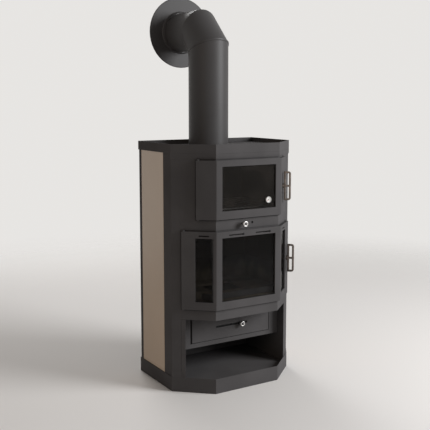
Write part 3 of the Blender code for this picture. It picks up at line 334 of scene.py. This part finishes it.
# %% [markdown]
# The panes are smoked by use. Real refraction would leave the box behind the glass black and
# noisy, so a pane is partly see-through by Alpha instead, with a dark body and a faint, sharp
# gloss. A thin film clouds it in patches. The firebox's panes are sootier than the oven's.

# %% Smoked glass
def glass(name, clean, hazy):
    made = Finish(name)
    film = made.noise(0.07, 3.0)
    return made.set(
        Base_Color=made.mix(film.ramp(0.4, 0.7), clean, hazy),
        Roughness=0.03 + film.ramp(0.45, 0.75) * 0.05,
        Alpha=0.54 + film.ramp(0.4, 0.7) * 0.07,
        Specular_IOR_Level=0.11,
    )


sooty_glass = glass("Sooty fire glass", (0.0025, 0.0022, 0.0021), (0.006, 0.005, 0.0046))
oven_glass = glass("Oven glass", (0.013, 0.0115, 0.0100), (0.021, 0.0180, 0.0155))

# %% [markdown]
# The door seals are knitted glass rope: a soft dark cord with a fine herringbone of stitches.
# Two slanted waves that cross make the stitches, and a fuzzy sheen keeps the cord from looking
# like rubber.

# %% Rope
rope = Finish("Knitted glass rope")
stitch_sockets = {"Vector": rope.place(), "Scale": 1 / (1.1 * MM), "Distortion": 0.0}
bands = {"wave_type": "BANDS", "bands_direction": "DIAGONAL"}
one_way = rope.node("ShaderNodeTexWave", bands, stitch_sockets, out=1)
crossed = {**stitch_sockets, "Vector": rope.place((1, -1, -1))}
other_way = rope.node("ShaderNodeTexWave", bands, crossed, out=1)
stitches = one_way.most(other_way)
fuzz = rope.noise(0.5 * MM, 3.0)
rope.set(
    Base_Color=rope.mix(stitches * 0.7 + fuzz * 0.3, (0.045, 0.044, 0.043), (0.16, 0.157, 0.15)),
    Roughness=0.95,
    Normal=rope.bump(stitches * 0.8 + fuzz * 0.2, 0.35 * MM),
    Sheen_Weight=0.3,
)

# %% [markdown]
# The thermometer's dial is white, with black marks and a red needle. The same matt black serves
# for dark screws, and as painted shade in the drawer's slot, the screws' sockets and the small
# hole.

# %% White, black and red
DRIFT = 0.06


def printed(name, colour, rough):
    made = Finish(name)
    drift = made.noise(4 * MM, 2.0)
    low = tuple(c * (1 - DRIFT) for c in colour)
    high = tuple(c * (1 + DRIFT) for c in colour)
    return made.set(
        Base_Color=made.mix(drift, low, high),
        Roughness=rough + drift * 0.1,
        Specular_IOR_Level=0.15,
    )


dial_white = printed("Dial white", (0.66, 0.655, 0.63), 0.42)
# Black print and screws, and painted shade in slots, sockets and the hole.
black_and_painted_shade = printed("Black and painted shade", (0.008, 0.008, 0.008), 0.6)
needle_red = printed("Needle red", (0.50, 0.03, 0.02), 0.3)

# %% [markdown]
# Every solid gets the finish that its slot in the record names. The solids' meshes are never
# touched, so this only fills their material slots. The air slide is matt black, painted shade that
# keeps its slot dark, and the oven's pane is cleaner than the firebox's, so these two get their
# own.

# %% Finish the solids
FINISH = {
    "anthracite": anthracite,
    "beige": enamel,
    "flue_paint": flue_paint,
    "black_steel": black_steel,
    "plain_steel": plain_steel,
    "handle_steel": bronzed,
    "chrome": chrome,
    "glass": sooty_glass,
    "firebrick": firebrick,
    "cast_iron": cast_iron,
    "rope": rope,
    "dial": dial_white,
    "needle_red": needle_red,
}
for node, solid in frame["nodes"].items():
    solid.data.materials.clear()
    solid.data.materials.append(FINISH[SLOT_OF[node]].material)
# Painted shade: the air slide is matt black so that its slot reads dark.
frame["nodes"]["air_slide"].data.materials[0] = black_and_painted_shade.material
frame["nodes"]["oven_glass"].data.materials[0] = oven_glass.material
print("finishes", len(FINISH), "on", len(frame["nodes"]), "solids")

# %% [markdown]
# Bent and lasered sheet has no knife edges: each has a small radius that catches a thin line of
# light. The solids are faceted and sharp, so a visible one is copied, its triangles are joined
# back into whole faces, and a Bevel modifier rounds the edges that turn by more than thirty
# degrees. Where two sheets meet in a welded seam the edge stays sharp, so that the seam stays
# almost unseen, as on the real body. The copy stands in for the solid.

# %% From solid to smooth piece
SEAM = 0.6 * MM


def whole_faces(node):
    """The solid's points and faces with its triangles joined where they lie in one plane."""
    made = bmesh.new()
    made.from_mesh(frame["nodes"][node].data)
    bmesh.ops.remove_doubles(made, verts=made.verts, dist=0.01 * MM)
    limit = math.radians(1)
    bmesh.ops.dissolve_limit(made, angle_limit=limit, verts=made.verts, edges=made.edges)
    points = [tuple(v.co) for v in made.verts]
    faces = [[v.index for v in f.verts] for f in made.faces]
    made.free()
    return points, faces


def surface_of(node):
    data = frame["nodes"][node].data
    points = [v.co.copy() for v in data.vertices]
    return BVHTree.FromPolygons(points, [tuple(f.vertices) for f in data.polygons])


def add_piece(name, points, faces, finish, body, slot):
    mesh = bpy.data.meshes.new(name)
    mesh.from_pydata(points, [], faces)
    mesh.validate()
    mesh.shade_smooth()
    mesh.materials.append(finish.material)
    piece = bpy.data.objects.new(name, mesh)
    SCENE.collection.objects.link(piece)
    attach(piece, body)
    return piece


# %% Rounding
def soften(piece, radius, sharp=30, segments=2, seams=()):
    """Rounds the edges that turn by more than sharp degrees and lie on none of the seams."""
    piece.data.set_sharp_from_angle(angle=math.radians(sharp))
    if not radius:
        return piece
    made = bmesh.new()
    made.from_mesh(piece.data)
    weight = made.edges.layers.float.new("bevel_weight_edge")
    for edge in made.edges:
        middle = (edge.verts[0].co + edge.verts[1].co) / 2
        turns = len(edge.link_faces) == 2 and edge.calc_face_angle() > math.radians(sharp)
        on_seam = any(tree.find_nearest(middle, SEAM)[0] is not None for tree in seams)
        edge[weight] = float(turns and not on_seam)
    made.to_mesh(piece.data)
    made.free()
    edges = piece.modifiers.new("Edges", "BEVEL")
    edges.width = radius
    edges.segments = segments
    edges.limit_method = "WEIGHT"
    edges.harden_normals = True
    return piece


def rounded(node, radius, sharp=30, segments=2, seams=()):
    points, faces = whole_faces(node)
    slot = SLOT_OF[node]
    piece = add_piece(node + "_rounded", points, faces, FINISH[slot], BODY_OF[node], slot)
    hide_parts(node)
    return soften(piece, radius, sharp, segments, seams)


# %% [markdown]
# The doors' frames and the enamelled panels get a larger radius than the casing's sheets, and
# the bars, the ash tray and the flue's thin rims a smaller one. The flue's limit lies just above
# the turn of its facets. Handles and rope seals are many-sided in the solids already, so they
# are only shaded smooth.

# %% Rounded stand-ins
SHEET_EDGE = 0.7 * MM
casing = ("left_cheek", "right_cheek", "oven_surround", "lower_band")
casing_surface = {node: surface_of(node) for node in casing}
for node in casing:
    rounded(node, SHEET_EDGE, seams=[casing_surface[n] for n in casing if n != node])
for node in ("plinth", "rear_cover", "top_tray", "niche_walls", "ash_frame", "drawer_front"):
    rounded(node, SHEET_EDGE)
for node in ("oven_door_frame", "fire_door_frame"):
    rounded(node, 1.0 * MM, segments=3)
for node in ("left_side_panel", "right_side_panel"):
    rounded(node, 1.6 * MM, segments=3)
for node in ("grate", "log_guard", "oven_rack", "ash_tray"):
    rounded(node, 0.6 * MM)
# The ash tray is darkened by ash and by painted shade.
bpy.data.objects["ash_tray_rounded"].data.materials[0] = ash_and_shade_steel.material
# The log guard's pale grey is painted light.
bpy.data.objects["log_guard_rounded"].data.materials[0] = pale_iron_painted_light.material
for node in ("flue_pipe", "flue_elbow", "flue_stub", "wall_rosette", "flue_collar"):
    rounded(node, 0.4 * MM, sharp=16)
for node in ("oven_handle", "fire_handle", "oven_door_seal", "fire_door_seal"):
    rounded(node, 0, sharp=50)

# %% [markdown]
# The fire's lining is laid dry from several bricks, with a hair's breadth between them. Each
# solid of the lining is cut at its joints with Bisect, both cut ends are closed again, and the
# bricks' edges are rounded, so that every joint becomes a real groove. Around the grate the
# joints run along the sides of its opening, as a mason would lay them.

# %% Cut and round a lining
JOINT = 0.8 * MM
BRICK_EDGE = 2.0 * MM


def halves(made, axis, place):
    """The closed meshes on both sides of a joint across this axis."""
    across = Vector((0, 0, 0))
    across[axis] = 1
    for side in (-1, 1):
        half = made.copy()
        parts = half.verts[:] + half.edges[:] + half.faces[:]
        spot = across * (place + side * JOINT / 2)
        cut = bmesh.ops.bisect_plane(
            half, geom=parts, plane_co=spot, plane_no=across * -side, clear_outer=True
        )
        rim = [part for part in cut["geom_cut"] if isinstance(part, bmesh.types.BMEdge)]
        bmesh.ops.edgeloop_fill(half, edges=rim)
        if half.faces:
            yield half


def laid(node, joints):
    """Replaces a solid of the lining by its bricks, and returns how many they are."""
    points, faces = whole_faces(node)
    mesh = bpy.data.meshes.new("whole")
    mesh.from_pydata(points, [], faces)
    whole = bmesh.new()
    whole.from_mesh(mesh)
    bpy.data.meshes.remove(mesh)
    bricks = [whole]
    for axis, place in joints:
        bricks = [half for brick in bricks for half in halves(brick, axis, place)]
    points, faces = [], []
    for brick in bricks:
        start = len(points)
        bmesh.ops.recalc_face_normals(brick, faces=brick.faces[:])
        brick.verts.index_update()
        points += [tuple(v.co) for v in brick.verts]
        faces += [[start + v.index for v in f.verts] for f in brick.faces]
    name = node + "_bricks"
    piece = add_piece(name, points, faces, FINISH["firebrick"], BODY_OF[node], "firebrick")
    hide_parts(node)
    soften(piece, BRICK_EDGE)
    return len(bricks)


# %% Laid firebricks
X, Y, Z = range(3)
GRATE_SIDES = [(X, -0.071), (X, 0.071)]
GRATE_ENDS = [(Y, -0.1165), (Y, 0.0065)]
SIDE_JOINT = (Y, -0.040)
COURSE = (Z, 0.4314)
count = laid("firebrick_floor", GRATE_SIDES + GRATE_ENDS)
count += laid("firebrick_left", [SIDE_JOINT, COURSE])
count += laid("firebrick_right", [SIDE_JOINT, COURSE])
count += laid("firebrick_back", GRATE_SIDES + [COURSE])
print("bricks", count)

# %% [markdown]
# The tray and the plinth stand two and a half millimetres proud of the casing. On the real body
# the sheet below the tray and above the plinth is drawn out to meet them, so a slim wedge takes
# up each step. A flat strip closes the upright seam between each cheek and the sheet beside it.
# All of these follow the casing's plan, so the helpers draw that plan at any distance outside
# it. Each corner then slides along its straight side by a share of the distance, which depends
# on the corner's angle.

# %% Lines along the casing
CORNER_X, CORNER_Y = 256.5 * MM, -128.5 * MM
FRONT_X, FRONT_Y = 135.0 * MM, -235.0 * MM
SIDE_SLIDE, FRONT_SLIDE = 0.452, 0.376


def corners_at(proud):
    """Plan of the body's front, from left to right, this far outside the casing."""
    side = (CORNER_X + proud, CORNER_Y - SIDE_SLIDE * proud)
    front = (FRONT_X + FRONT_SLIDE * proud, FRONT_Y - proud)
    return [(-side[0], side[1]), (-front[0], front[1]), front, side]


def on_cheek(x, proud):
    """The point at x of the left cheek's slanted line, this far outside the casing."""
    side, front = corners_at(proud)[0:2]
    along = (x - side[0]) / (front[0] - side[0])
    return (x, side[1] + along * (front[1] - side[1]))


# %% Bands
def skin(name, loops, finish, body, slot):
    """A closed solid through loops of four or more points, one above the other."""
    count = len(loops[0])
    points = [point for loop in loops for point in loop]
    faces = [tuple(reversed(range(count)))]
    for level in range(len(loops) - 1):
        for n in range(count):
            m = (n + 1) % count
            low, high = level * count, (level + 1) * count
            faces.append((low + n, low + m, high + m, high + n))
    faces.append(tuple(range(len(points) - count, len(points))))
    piece = add_piece(name, points, faces, finish, body, slot)
    piece.data.set_sharp_from_angle(angle=math.radians(30))
    return piece


def band(name, lines, heights, finish=anthracite, body="stove", slot="anthracite"):
    """A band round the front: at each height, from one line in plan to another behind it."""
    loops = []
    for (outer, inner), z in zip(lines, heights):
        loops.append([(x, y, z) for x, y in outer + inner[::-1]])
    return skin(name, loops, finish, body, slot)


def mirrored(line):
    return [(-x, y) for x, y in reversed(line)]


# %% Drawn edges and closed seams
THIN, BEHIND = 0.06 * MM, 0.02 * MM
PROUD = 2.45 * MM
TRAY_EDGE = (847 * MM, 852 * MM, 867 * MM)
PLINTH_EDGE = (54.8 * MM, 75.0 * MM)
UPPER_SEAM = (597 * MM, 850 * MM)
LOWER_SEAM = (270.2 * MM, 305.3 * MM)
SEAM_X = -230.4 * MM
STRIP_HALF, STRIP_PROUD = 0.7 * MM, 0.1 * MM

edge_lines = [(corners_at(proud), corners_at(BEHIND)) for proud in (THIN, PROUD, PROUD)]
band("tray_drawn_edge", edge_lines, TRAY_EDGE)
for side, flip in (("left", list), ("right", mirrored)):
    lines = []
    for proud in (PROUD, THIN):
        outer = [corners_at(proud)[0], on_cheek(SEAM_X, proud)]
        inner = [corners_at(BEHIND)[0], on_cheek(SEAM_X, BEHIND)]
        lines.append((flip(outer), flip(inner)))
    band(side + "_plinth_drawn_edge", lines, PLINTH_EDGE)
    ends = (SEAM_X - STRIP_HALF, SEAM_X + STRIP_HALF)
    outer, inner = ([on_cheek(x, proud) for x in ends] for proud in (STRIP_PROUD, BEHIND))
    pair = (flip(outer), flip(inner))
    band(side + "_upper_seam", (pair, pair), UPPER_SEAM)
    band(side + "_lower_seam", (pair, pair), LOWER_SEAM)

# %% [markdown]
# Knobs, screw heads and the needle's hub are lathe work, so one helper turns a profile round an
# axis: a list of radius and height, swept in steps. It is the same idea as the Screw modifier,
# but made directly it closes on the axis with no doubled points.

# %% A small lathe
def turned(name, profile, place, direction, finish, body, slot, steps=40):
    """A closed solid from (radius, height) pairs; the first and last lie on the axis."""
    axis = Vector(direction).normalized()
    side = axis.orthogonal().normalized()
    other = axis.cross(side)
    points, rows = [], []
    for radius, height in profile:
        spot = Vector(place) + axis * height
        if radius == 0:
            rows.append([len(points)] * steps)
            points.append(spot)
            continue
        rows.append(list(range(len(points), len(points) + steps)))
        for step in range(steps):
            angle = 2 * math.pi * step / steps
            points.append(spot + (side * math.cos(angle) + other * math.sin(angle)) * radius)
    faces = []
    for low, high in zip(rows, rows[1:]):
        for step in range(steps):
            ahead = (step + 1) % steps
            corners = [low[step], low[ahead], high[ahead], high[step]]
            faces.append([c for n, c in enumerate(corners) if c != corners[n - 1]])
    piece = add_piece(name, points, faces, finish, body, slot)
    piece.data.set_sharp_from_angle(angle=math.radians(40))
    return piece


def middle_of(node):
    """The middle, the low corner and the high corner of a solid's box."""
    low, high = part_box(node)
    return (Vector(low) + Vector(high)) / 2, Vector(low), Vector(high)


TOWARDS_ROOM = (0, -1, 0)

# %% [markdown]
# Two round pulls work the start-up damper and the air slide. Each is a satin chrome ring on a
# stem. The ring's profile is an oval drawn by a few points on a curve, in shares of the knob's
# radius and depth, and a low cap with its own dark finish sits in the hollow.

# %% Knobs
KNOB_DEEP = 16 * MM
STEM_R = 2.75 * MM


def knob(node, body):
    centre, low, high = middle_of(node)
    radius, deep = (high.x - low.x) / 2, KNOB_DEEP
    back = Vector((centre.x, low.y + deep, centre.z))
    outline = [(0, 0), (0.48 * radius, 0), (0.66 * radius, 0.10 * deep)]
    for step in range(13):
        angle = math.radians(-60 + 20 * step)
        across = 0.70 + 0.30 * math.cos(angle)
        along = 0.66 + 0.34 * math.sin(angle)
        outline.append((across * radius, along * deep))
    outline += [(0.37 * radius, 0.62 * deep), (0, 0.60 * deep)]
    ring = turned(node + "_ring", outline, back, TOWARDS_ROOM, chrome, body, "chrome")
    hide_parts(node)
    cap = [(0, 0.61 * deep), (0.36 * radius, 0.61 * deep), (0.34 * radius, 0.68 * deep)]
    cap += [(0.22 * radius, 0.72 * deep), (0, 0.73 * deep)]
    turned(node + "_cap", cap, back, TOWARDS_ROOM, dark_centre, body, "black_steel")
    stem = [(0, -4 * MM), (STEM_R, -4 * MM), (STEM_R, 0.5 * MM), (0, 0.5 * MM)]
    turned(node + "_stem", stem, back, TOWARDS_ROOM, chrome, body, "chrome", 24)


knob("damper_knob", "damper")
knob("air_knob", "air_slide")

# %% [markdown]
# A flat black plate lies behind the drawer's slot: painted shade, so that the slot reads dark and
# doesn't open on the ash tray. It rides on the drawer.

# %% Painted-shade plate behind the slot
SHADE_PLATE_X, SHADE_PLATE_DEEP = 118 * MM, 2 * MM
SHADE_PLATE_RIM = 4 * MM
slide_low, slide_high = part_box("air_slide")
shade_plate_y = slide_high[1] + 0.6 * MM
shade_plate_plan = [[(-SHADE_PLATE_X, y), (SHADE_PLATE_X, y)] for y in (shade_plate_y, shade_plate_y + SHADE_PLATE_DEEP)]
shade_plate_z = (slide_low[2] - SHADE_PLATE_RIM, slide_high[2] + SHADE_PLATE_RIM)
band("air_slide_shade_plate", (shade_plate_plan, shade_plate_plan), shade_plate_z, black_and_painted_shade, "ash_drawer", "black_steel")

# %% [markdown]
# The thermometer sits on the oven's glass: a white dial in a thin bright rim, with plain
# strokes round three quarters of it, longer at every third, and the needle on a small hub. The
# rim is a hoop, a closed section carried round an axis. The strokes are slivers of real
# geometry, just proud of the dial, so no picture is needed.

# %% The dial's rim
dial_centre, dial_low, dial_high = middle_of("thermometer_case")
DIAL_R = (dial_high.x - dial_low.x) / 2
dial_spot = Vector((dial_centre.x, dial_low.y, dial_centre.z))
rim = [(0.89, -0.5), (0.91, -0.1), (0.96, 0.0), (1.0, -0.5), (1.0, -2.4), (0.97, -2.4)]
rim_points = [(r * DIAL_R * 1.004, h * MM) for r, h in rim]


def hoop(name, section, place, direction, finish, body, slot, steps=56):
    """A ring from a closed section of (radius, height) pairs."""
    axis = Vector(direction).normalized()
    side = axis.orthogonal().normalized()
    other = axis.cross(side)
    count = len(section)
    points, faces = [], []
    for step in range(steps):
        angle = 2 * math.pi * step / steps
        out = side * math.cos(angle) + other * math.sin(angle)
        points += [Vector(place) + out * radius + axis * height for radius, height in section]
    for step in range(steps):
        here, ahead = step * count, (step + 1) % steps * count
        for n in range(count):
            m = (n + 1) % count
            faces.append((here + n, here + m, ahead + m, ahead + n))
    piece = add_piece(name, points, faces, finish, body, slot)
    piece.data.set_sharp_from_angle(angle=math.radians(50))
    return piece


hoop("dial_rim", rim_points, dial_spot, TOWARDS_ROOM, chrome, "oven_door", "chrome")

# %% Strokes and needle hub
DIAL_FACE = dial_low.y + 2 * MM
SUNK, RAISED = Vector((0, 0.05 * MM, 0)), Vector((0, 0.12 * MM, 0))
STROKES = 19
FIRST, SWEEP = 225, 270  # degrees, anticlockwise from the right
LONG, SHORT = (0.56, 0.28), (0.68, 0.16)  # start as a share of the radius, half width in mm
end = 0.80 * DIAL_R
points, faces = [], []
for number in range(STROKES):
    angle = math.radians(FIRST - SWEEP * number / (STROKES - 1))
    out = Vector((math.cos(angle), 0, math.sin(angle)))
    share, half_width = LONG if number % 3 == 0 else SHORT
    across = Vector((-out.z, 0, out.x)) * half_width * MM
    start = share * DIAL_R
    for reach, side in ((start, 1), (start, -1), (end, -1), (end, 1)):
        flat = Vector((dial_centre.x, DIAL_FACE, dial_centre.z)) + out * reach + across * side
        points += [flat + SUNK, flat - RAISED]
    first = number * 8
    faces.append([first + n for n in (1, 3, 5, 7)])
    faces.append([first + n for n in (6, 4, 2, 0)])
    for n in range(4):
        here, ahead = first + 2 * n, first + 2 * ((n + 1) % 4)
        faces.append((here, ahead, ahead + 1, here + 1))
add_piece("dial_strokes", points, faces, black_and_painted_shade, "oven_door", "dial")
hub = [(0, 0), (1.7 * MM, 0), (1.7 * MM, 0.5 * MM), (1.2 * MM, 0.8 * MM), (0, 0.8 * MM)]
needle_front = middle_of("thermometer_needle")[1].y
hub_spot = Vector((dial_centre.x, needle_front, dial_centre.z))
turned("needle_hub", hub, hub_spot, TOWARDS_ROOM, black_and_painted_shade, "thermometer_needle", "dial", 24)
print("strokes", STROKES, "on a dial of radius", round(DIAL_R / MM, 1), "mm")

# %% [markdown]
# Screws hold the glass retainers and the rear cover, and two dark ones stand at the right ends of
# the air slots in the firebox door's front. A head is a low dome with a six-sided socket: the
# lathe makes the dome, and a six-step lathe makes the socket's floor in matt black, painted shade
# for the socket's depth. Both are drawn in shares of the head's radius. Each head is sunk a little
# into its sheet.

# %% A socket screw
def screw(name, place, direction, width, body, finish=plain_steel, slot="plain_steel"):
    r = width / 2
    dome = [(0, -0.3 * r), (r, -0.3 * r), (r, 0.12 * r), (0.9 * r, 0.3 * r), (0.62 * r, 0.42 * r)]
    dome += [(0.5 * r, 0.42 * r), (0.46 * r, 0.10 * r), (0, 0.10 * r)]
    turned(name, dome, place, direction, finish, body, slot, 24)
    socket = [(0, 0.11 * r), (0.44 * r, 0.11 * r), (0.44 * r, 0.2 * r), (0, 0.16 * r)]
    # The socket's floor is matt black: painted shade.
    turned(name + "_socket", socket, place, direction, black_and_painted_shade, body, "black_steel", 6)


# %% Screws on the doors
TOWARDS_WALL = (0, 1, 0)
HEAD_SUNK, SMALL_HEAD_SUNK = 0.2 * MM, 0.1 * MM
SLOT_SCREW_X = (-0.0255, 0.0895)
SLOT_Z = 0.57745
door_front_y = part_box("fire_door_frame")[0][1]
black = (black_and_painted_shade, "black_steel")
for number, x in enumerate(SLOT_SCREW_X):
    spot = (x, door_front_y + HEAD_SUNK, SLOT_Z)
    screw(f"slot_screw_{number}", spot, TOWARDS_ROOM, 8 * MM, "fire_door", *black)

# Distance from the middle, and both heights, in mm.
RETAINER_SCREWS = {"oven": (120, (659, 825)), "fire": (124, (333.5, 571.5))}
retainer_back_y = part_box("oven_glass_retainer")[1][1]
for door, (x, heights) in RETAINER_SCREWS.items():
    for number, (side, z) in enumerate((side, z) for side in (-1, 1) for z in heights):
        spot = (side * x * MM, retainer_back_y - SMALL_HEAD_SUNK, z * MM)
        screw(f"{door}_retainer_screw_{number}", spot, TOWARDS_WALL, 4.6 * MM, door + "_door")

# %% [markdown]
# The small dark hole beside the upper knob is lined with a matt black bush, painted shade that
# keeps the hole dark. The bush is a hoop from a section of radius and height in millimetres.

# %% Bush of the small hole
HOLE_X, HOLE_Z = 19 * MM, 615 * MM
casing_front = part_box("oven_surround")[0][1]
bush = [(3.3, -2.4), (4.5, -2.4), (4.5, 0.25), (4.1, 0.45), (3.5, 0.3), (3.3, -0.2)]
bush = [(radius * MM, height * MM) for radius, height in bush]
hole_spot = (HOLE_X, casing_front, HOLE_Z)
# Matt black lining: painted shade in the hole.
hoop("latch_hole_bush", bush, hole_spot, TOWARDS_ROOM, black_and_painted_shade, "stove", "black_steel", 32)

# %% Screws on the rear cover
COVER_HEIGHTS = (0.052, 0.245, 0.455, 0.665, 0.855)
COVER_SIDE_X, COVER_TOP_X = 0.243, 0.12
cover_back_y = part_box("rear_cover")[1][1]
sides = [(x, z) for z in COVER_HEIGHTS for x in (-COVER_SIDE_X, COVER_SIDE_X)]
top = [(x, COVER_HEIGHTS[-1]) for x in (-COVER_TOP_X, COVER_TOP_X)]
for name, places in (("cover_screw", sides), ("cover_top_screw", top)):
    for number, (x, z) in enumerate(places):
        spot = (x, cover_back_y - HEAD_SUNK, z)
        screw(f"{name}_{number}", spot, TOWARDS_WALL, 7 * MM, "stove")

# %% [markdown]
# Plain soft studio light: one large lamp on the right of the front, as a window would be, a
# weak, warm one on the left and one behind. They are set so that a front face renders about as
# its colour is written.

# %% Lamps
AIM = Vector((0, -0.1, 0.65))


def lamp(name, place, size, power, colour=(1, 1, 1)):
    data = bpy.data.lights.new(name, "AREA")
    data.shape = "DISK"
    data.size = size
    data.energy = power
    data.color = colour
    made = bpy.data.objects.new(name, data)
    made.location = place
    made.rotation_euler = (AIM - Vector(place)).to_track_quat("-Z", "Y").to_euler()
    SCENE.collection.objects.link(made)


lamp("Window light", (2.35, -2.55, 1.78), 1.9, 153, (0.975, 0.985, 1.0))
lamp("Fill light", (-3.2, -1.6, 1.9), 2.0, 9.5, (1.0, 0.72, 0.50))
lamp("Back light", (0.6, 3.4, 2.4), 2.0, 60)
print("lamps", len(bpy.data.lights))

# %% [markdown]
# A pale world lies all round. It lights the stove weakly, while camera, glossy and transmission
# rays see a brighter backdrop.

# %% World
BACKDROP = (0.80, 0.785, 0.765)
ROOM_COLOUR, ROOM_STRENGTH = (1.0, 0.965, 0.935), 0.22
world = bpy.data.worlds.new("Pale room")
world.use_nodes = True
tree = world.node_tree
room = tree.nodes["Background"]
seen = tree.nodes.new("ShaderNodeBackground")
room.inputs["Color"].default_value = (*ROOM_COLOUR, 1)
room.inputs["Strength"].default_value = ROOM_STRENGTH
seen.inputs["Color"].default_value = (*BACKDROP, 1)
rays = tree.nodes.new("ShaderNodeLightPath")
shows = rays.outputs["Is Camera Ray"]
for kind in ("Is Glossy Ray", "Is Transmission Ray"):
    either = tree.nodes.new("ShaderNodeMath")
    either.operation = "MAXIMUM"
    tree.links.new(shows, either.inputs[0])
    tree.links.new(rays.outputs[kind], either.inputs[1])
    shows = either.outputs[0]
choose = tree.nodes.new("ShaderNodeMixShader")
tree.links.new(shows, choose.inputs[0])
tree.links.new(room.outputs[0], choose.inputs[1])
tree.links.new(seen.outputs[0], choose.inputs[2])
tree.links.new(choose.outputs[0], tree.nodes["World Output"].inputs["Surface"])
SCENE.world = world
print("world", world.name)

# %% [markdown]
# The floor takes the stove's shadow and fades into the backdrop with the distance from the
# stove, so that no horizon shows.

# %% Floor
FLOOR_SIZE = 14.0
FADE_FROM, FADE_TO = 1.5, 3.3
floor_finish = Finish("Pale floor")
out_x = floor_finish.axis(0)
out_y = floor_finish.axis(1)
away = (out_x * out_x + out_y * out_y) ** 0.5
fade = away.ramp(FADE_FROM, FADE_TO)
floor_finish.set(Base_Color=(0.74, 0.72, 0.70), Roughness=0.85)
solid = Flow(floor_finish, floor_finish.shader.outputs[0])
clear = floor_finish.node("ShaderNodeBsdfTransparent")
blended = floor_finish.node("ShaderNodeMixShader", None, {0: fade, 1: solid, 2: clear})
surface = floor_finish.tree.nodes["Material Output"].inputs["Surface"]
floor_finish.tree.links.new(blended.socket, surface)
half = FLOOR_SIZE / 2
corners = [(-half, -half, 0), (half, -half, 0), (half, half, 0), (-half, half, 0)]
mesh = bpy.data.meshes.new("Floor")
mesh.from_pydata(corners, [], [(0, 1, 2, 3)])
mesh.materials.append(floor_finish.material)
floor = bpy.data.objects.new("Floor", mesh)
floor.location.z = -0.5 * MM
SCENE.collection.objects.link(floor)
SCENE.view_settings.view_transform = "Standard"
print("floor", FLOOR_SIZE, "m across")
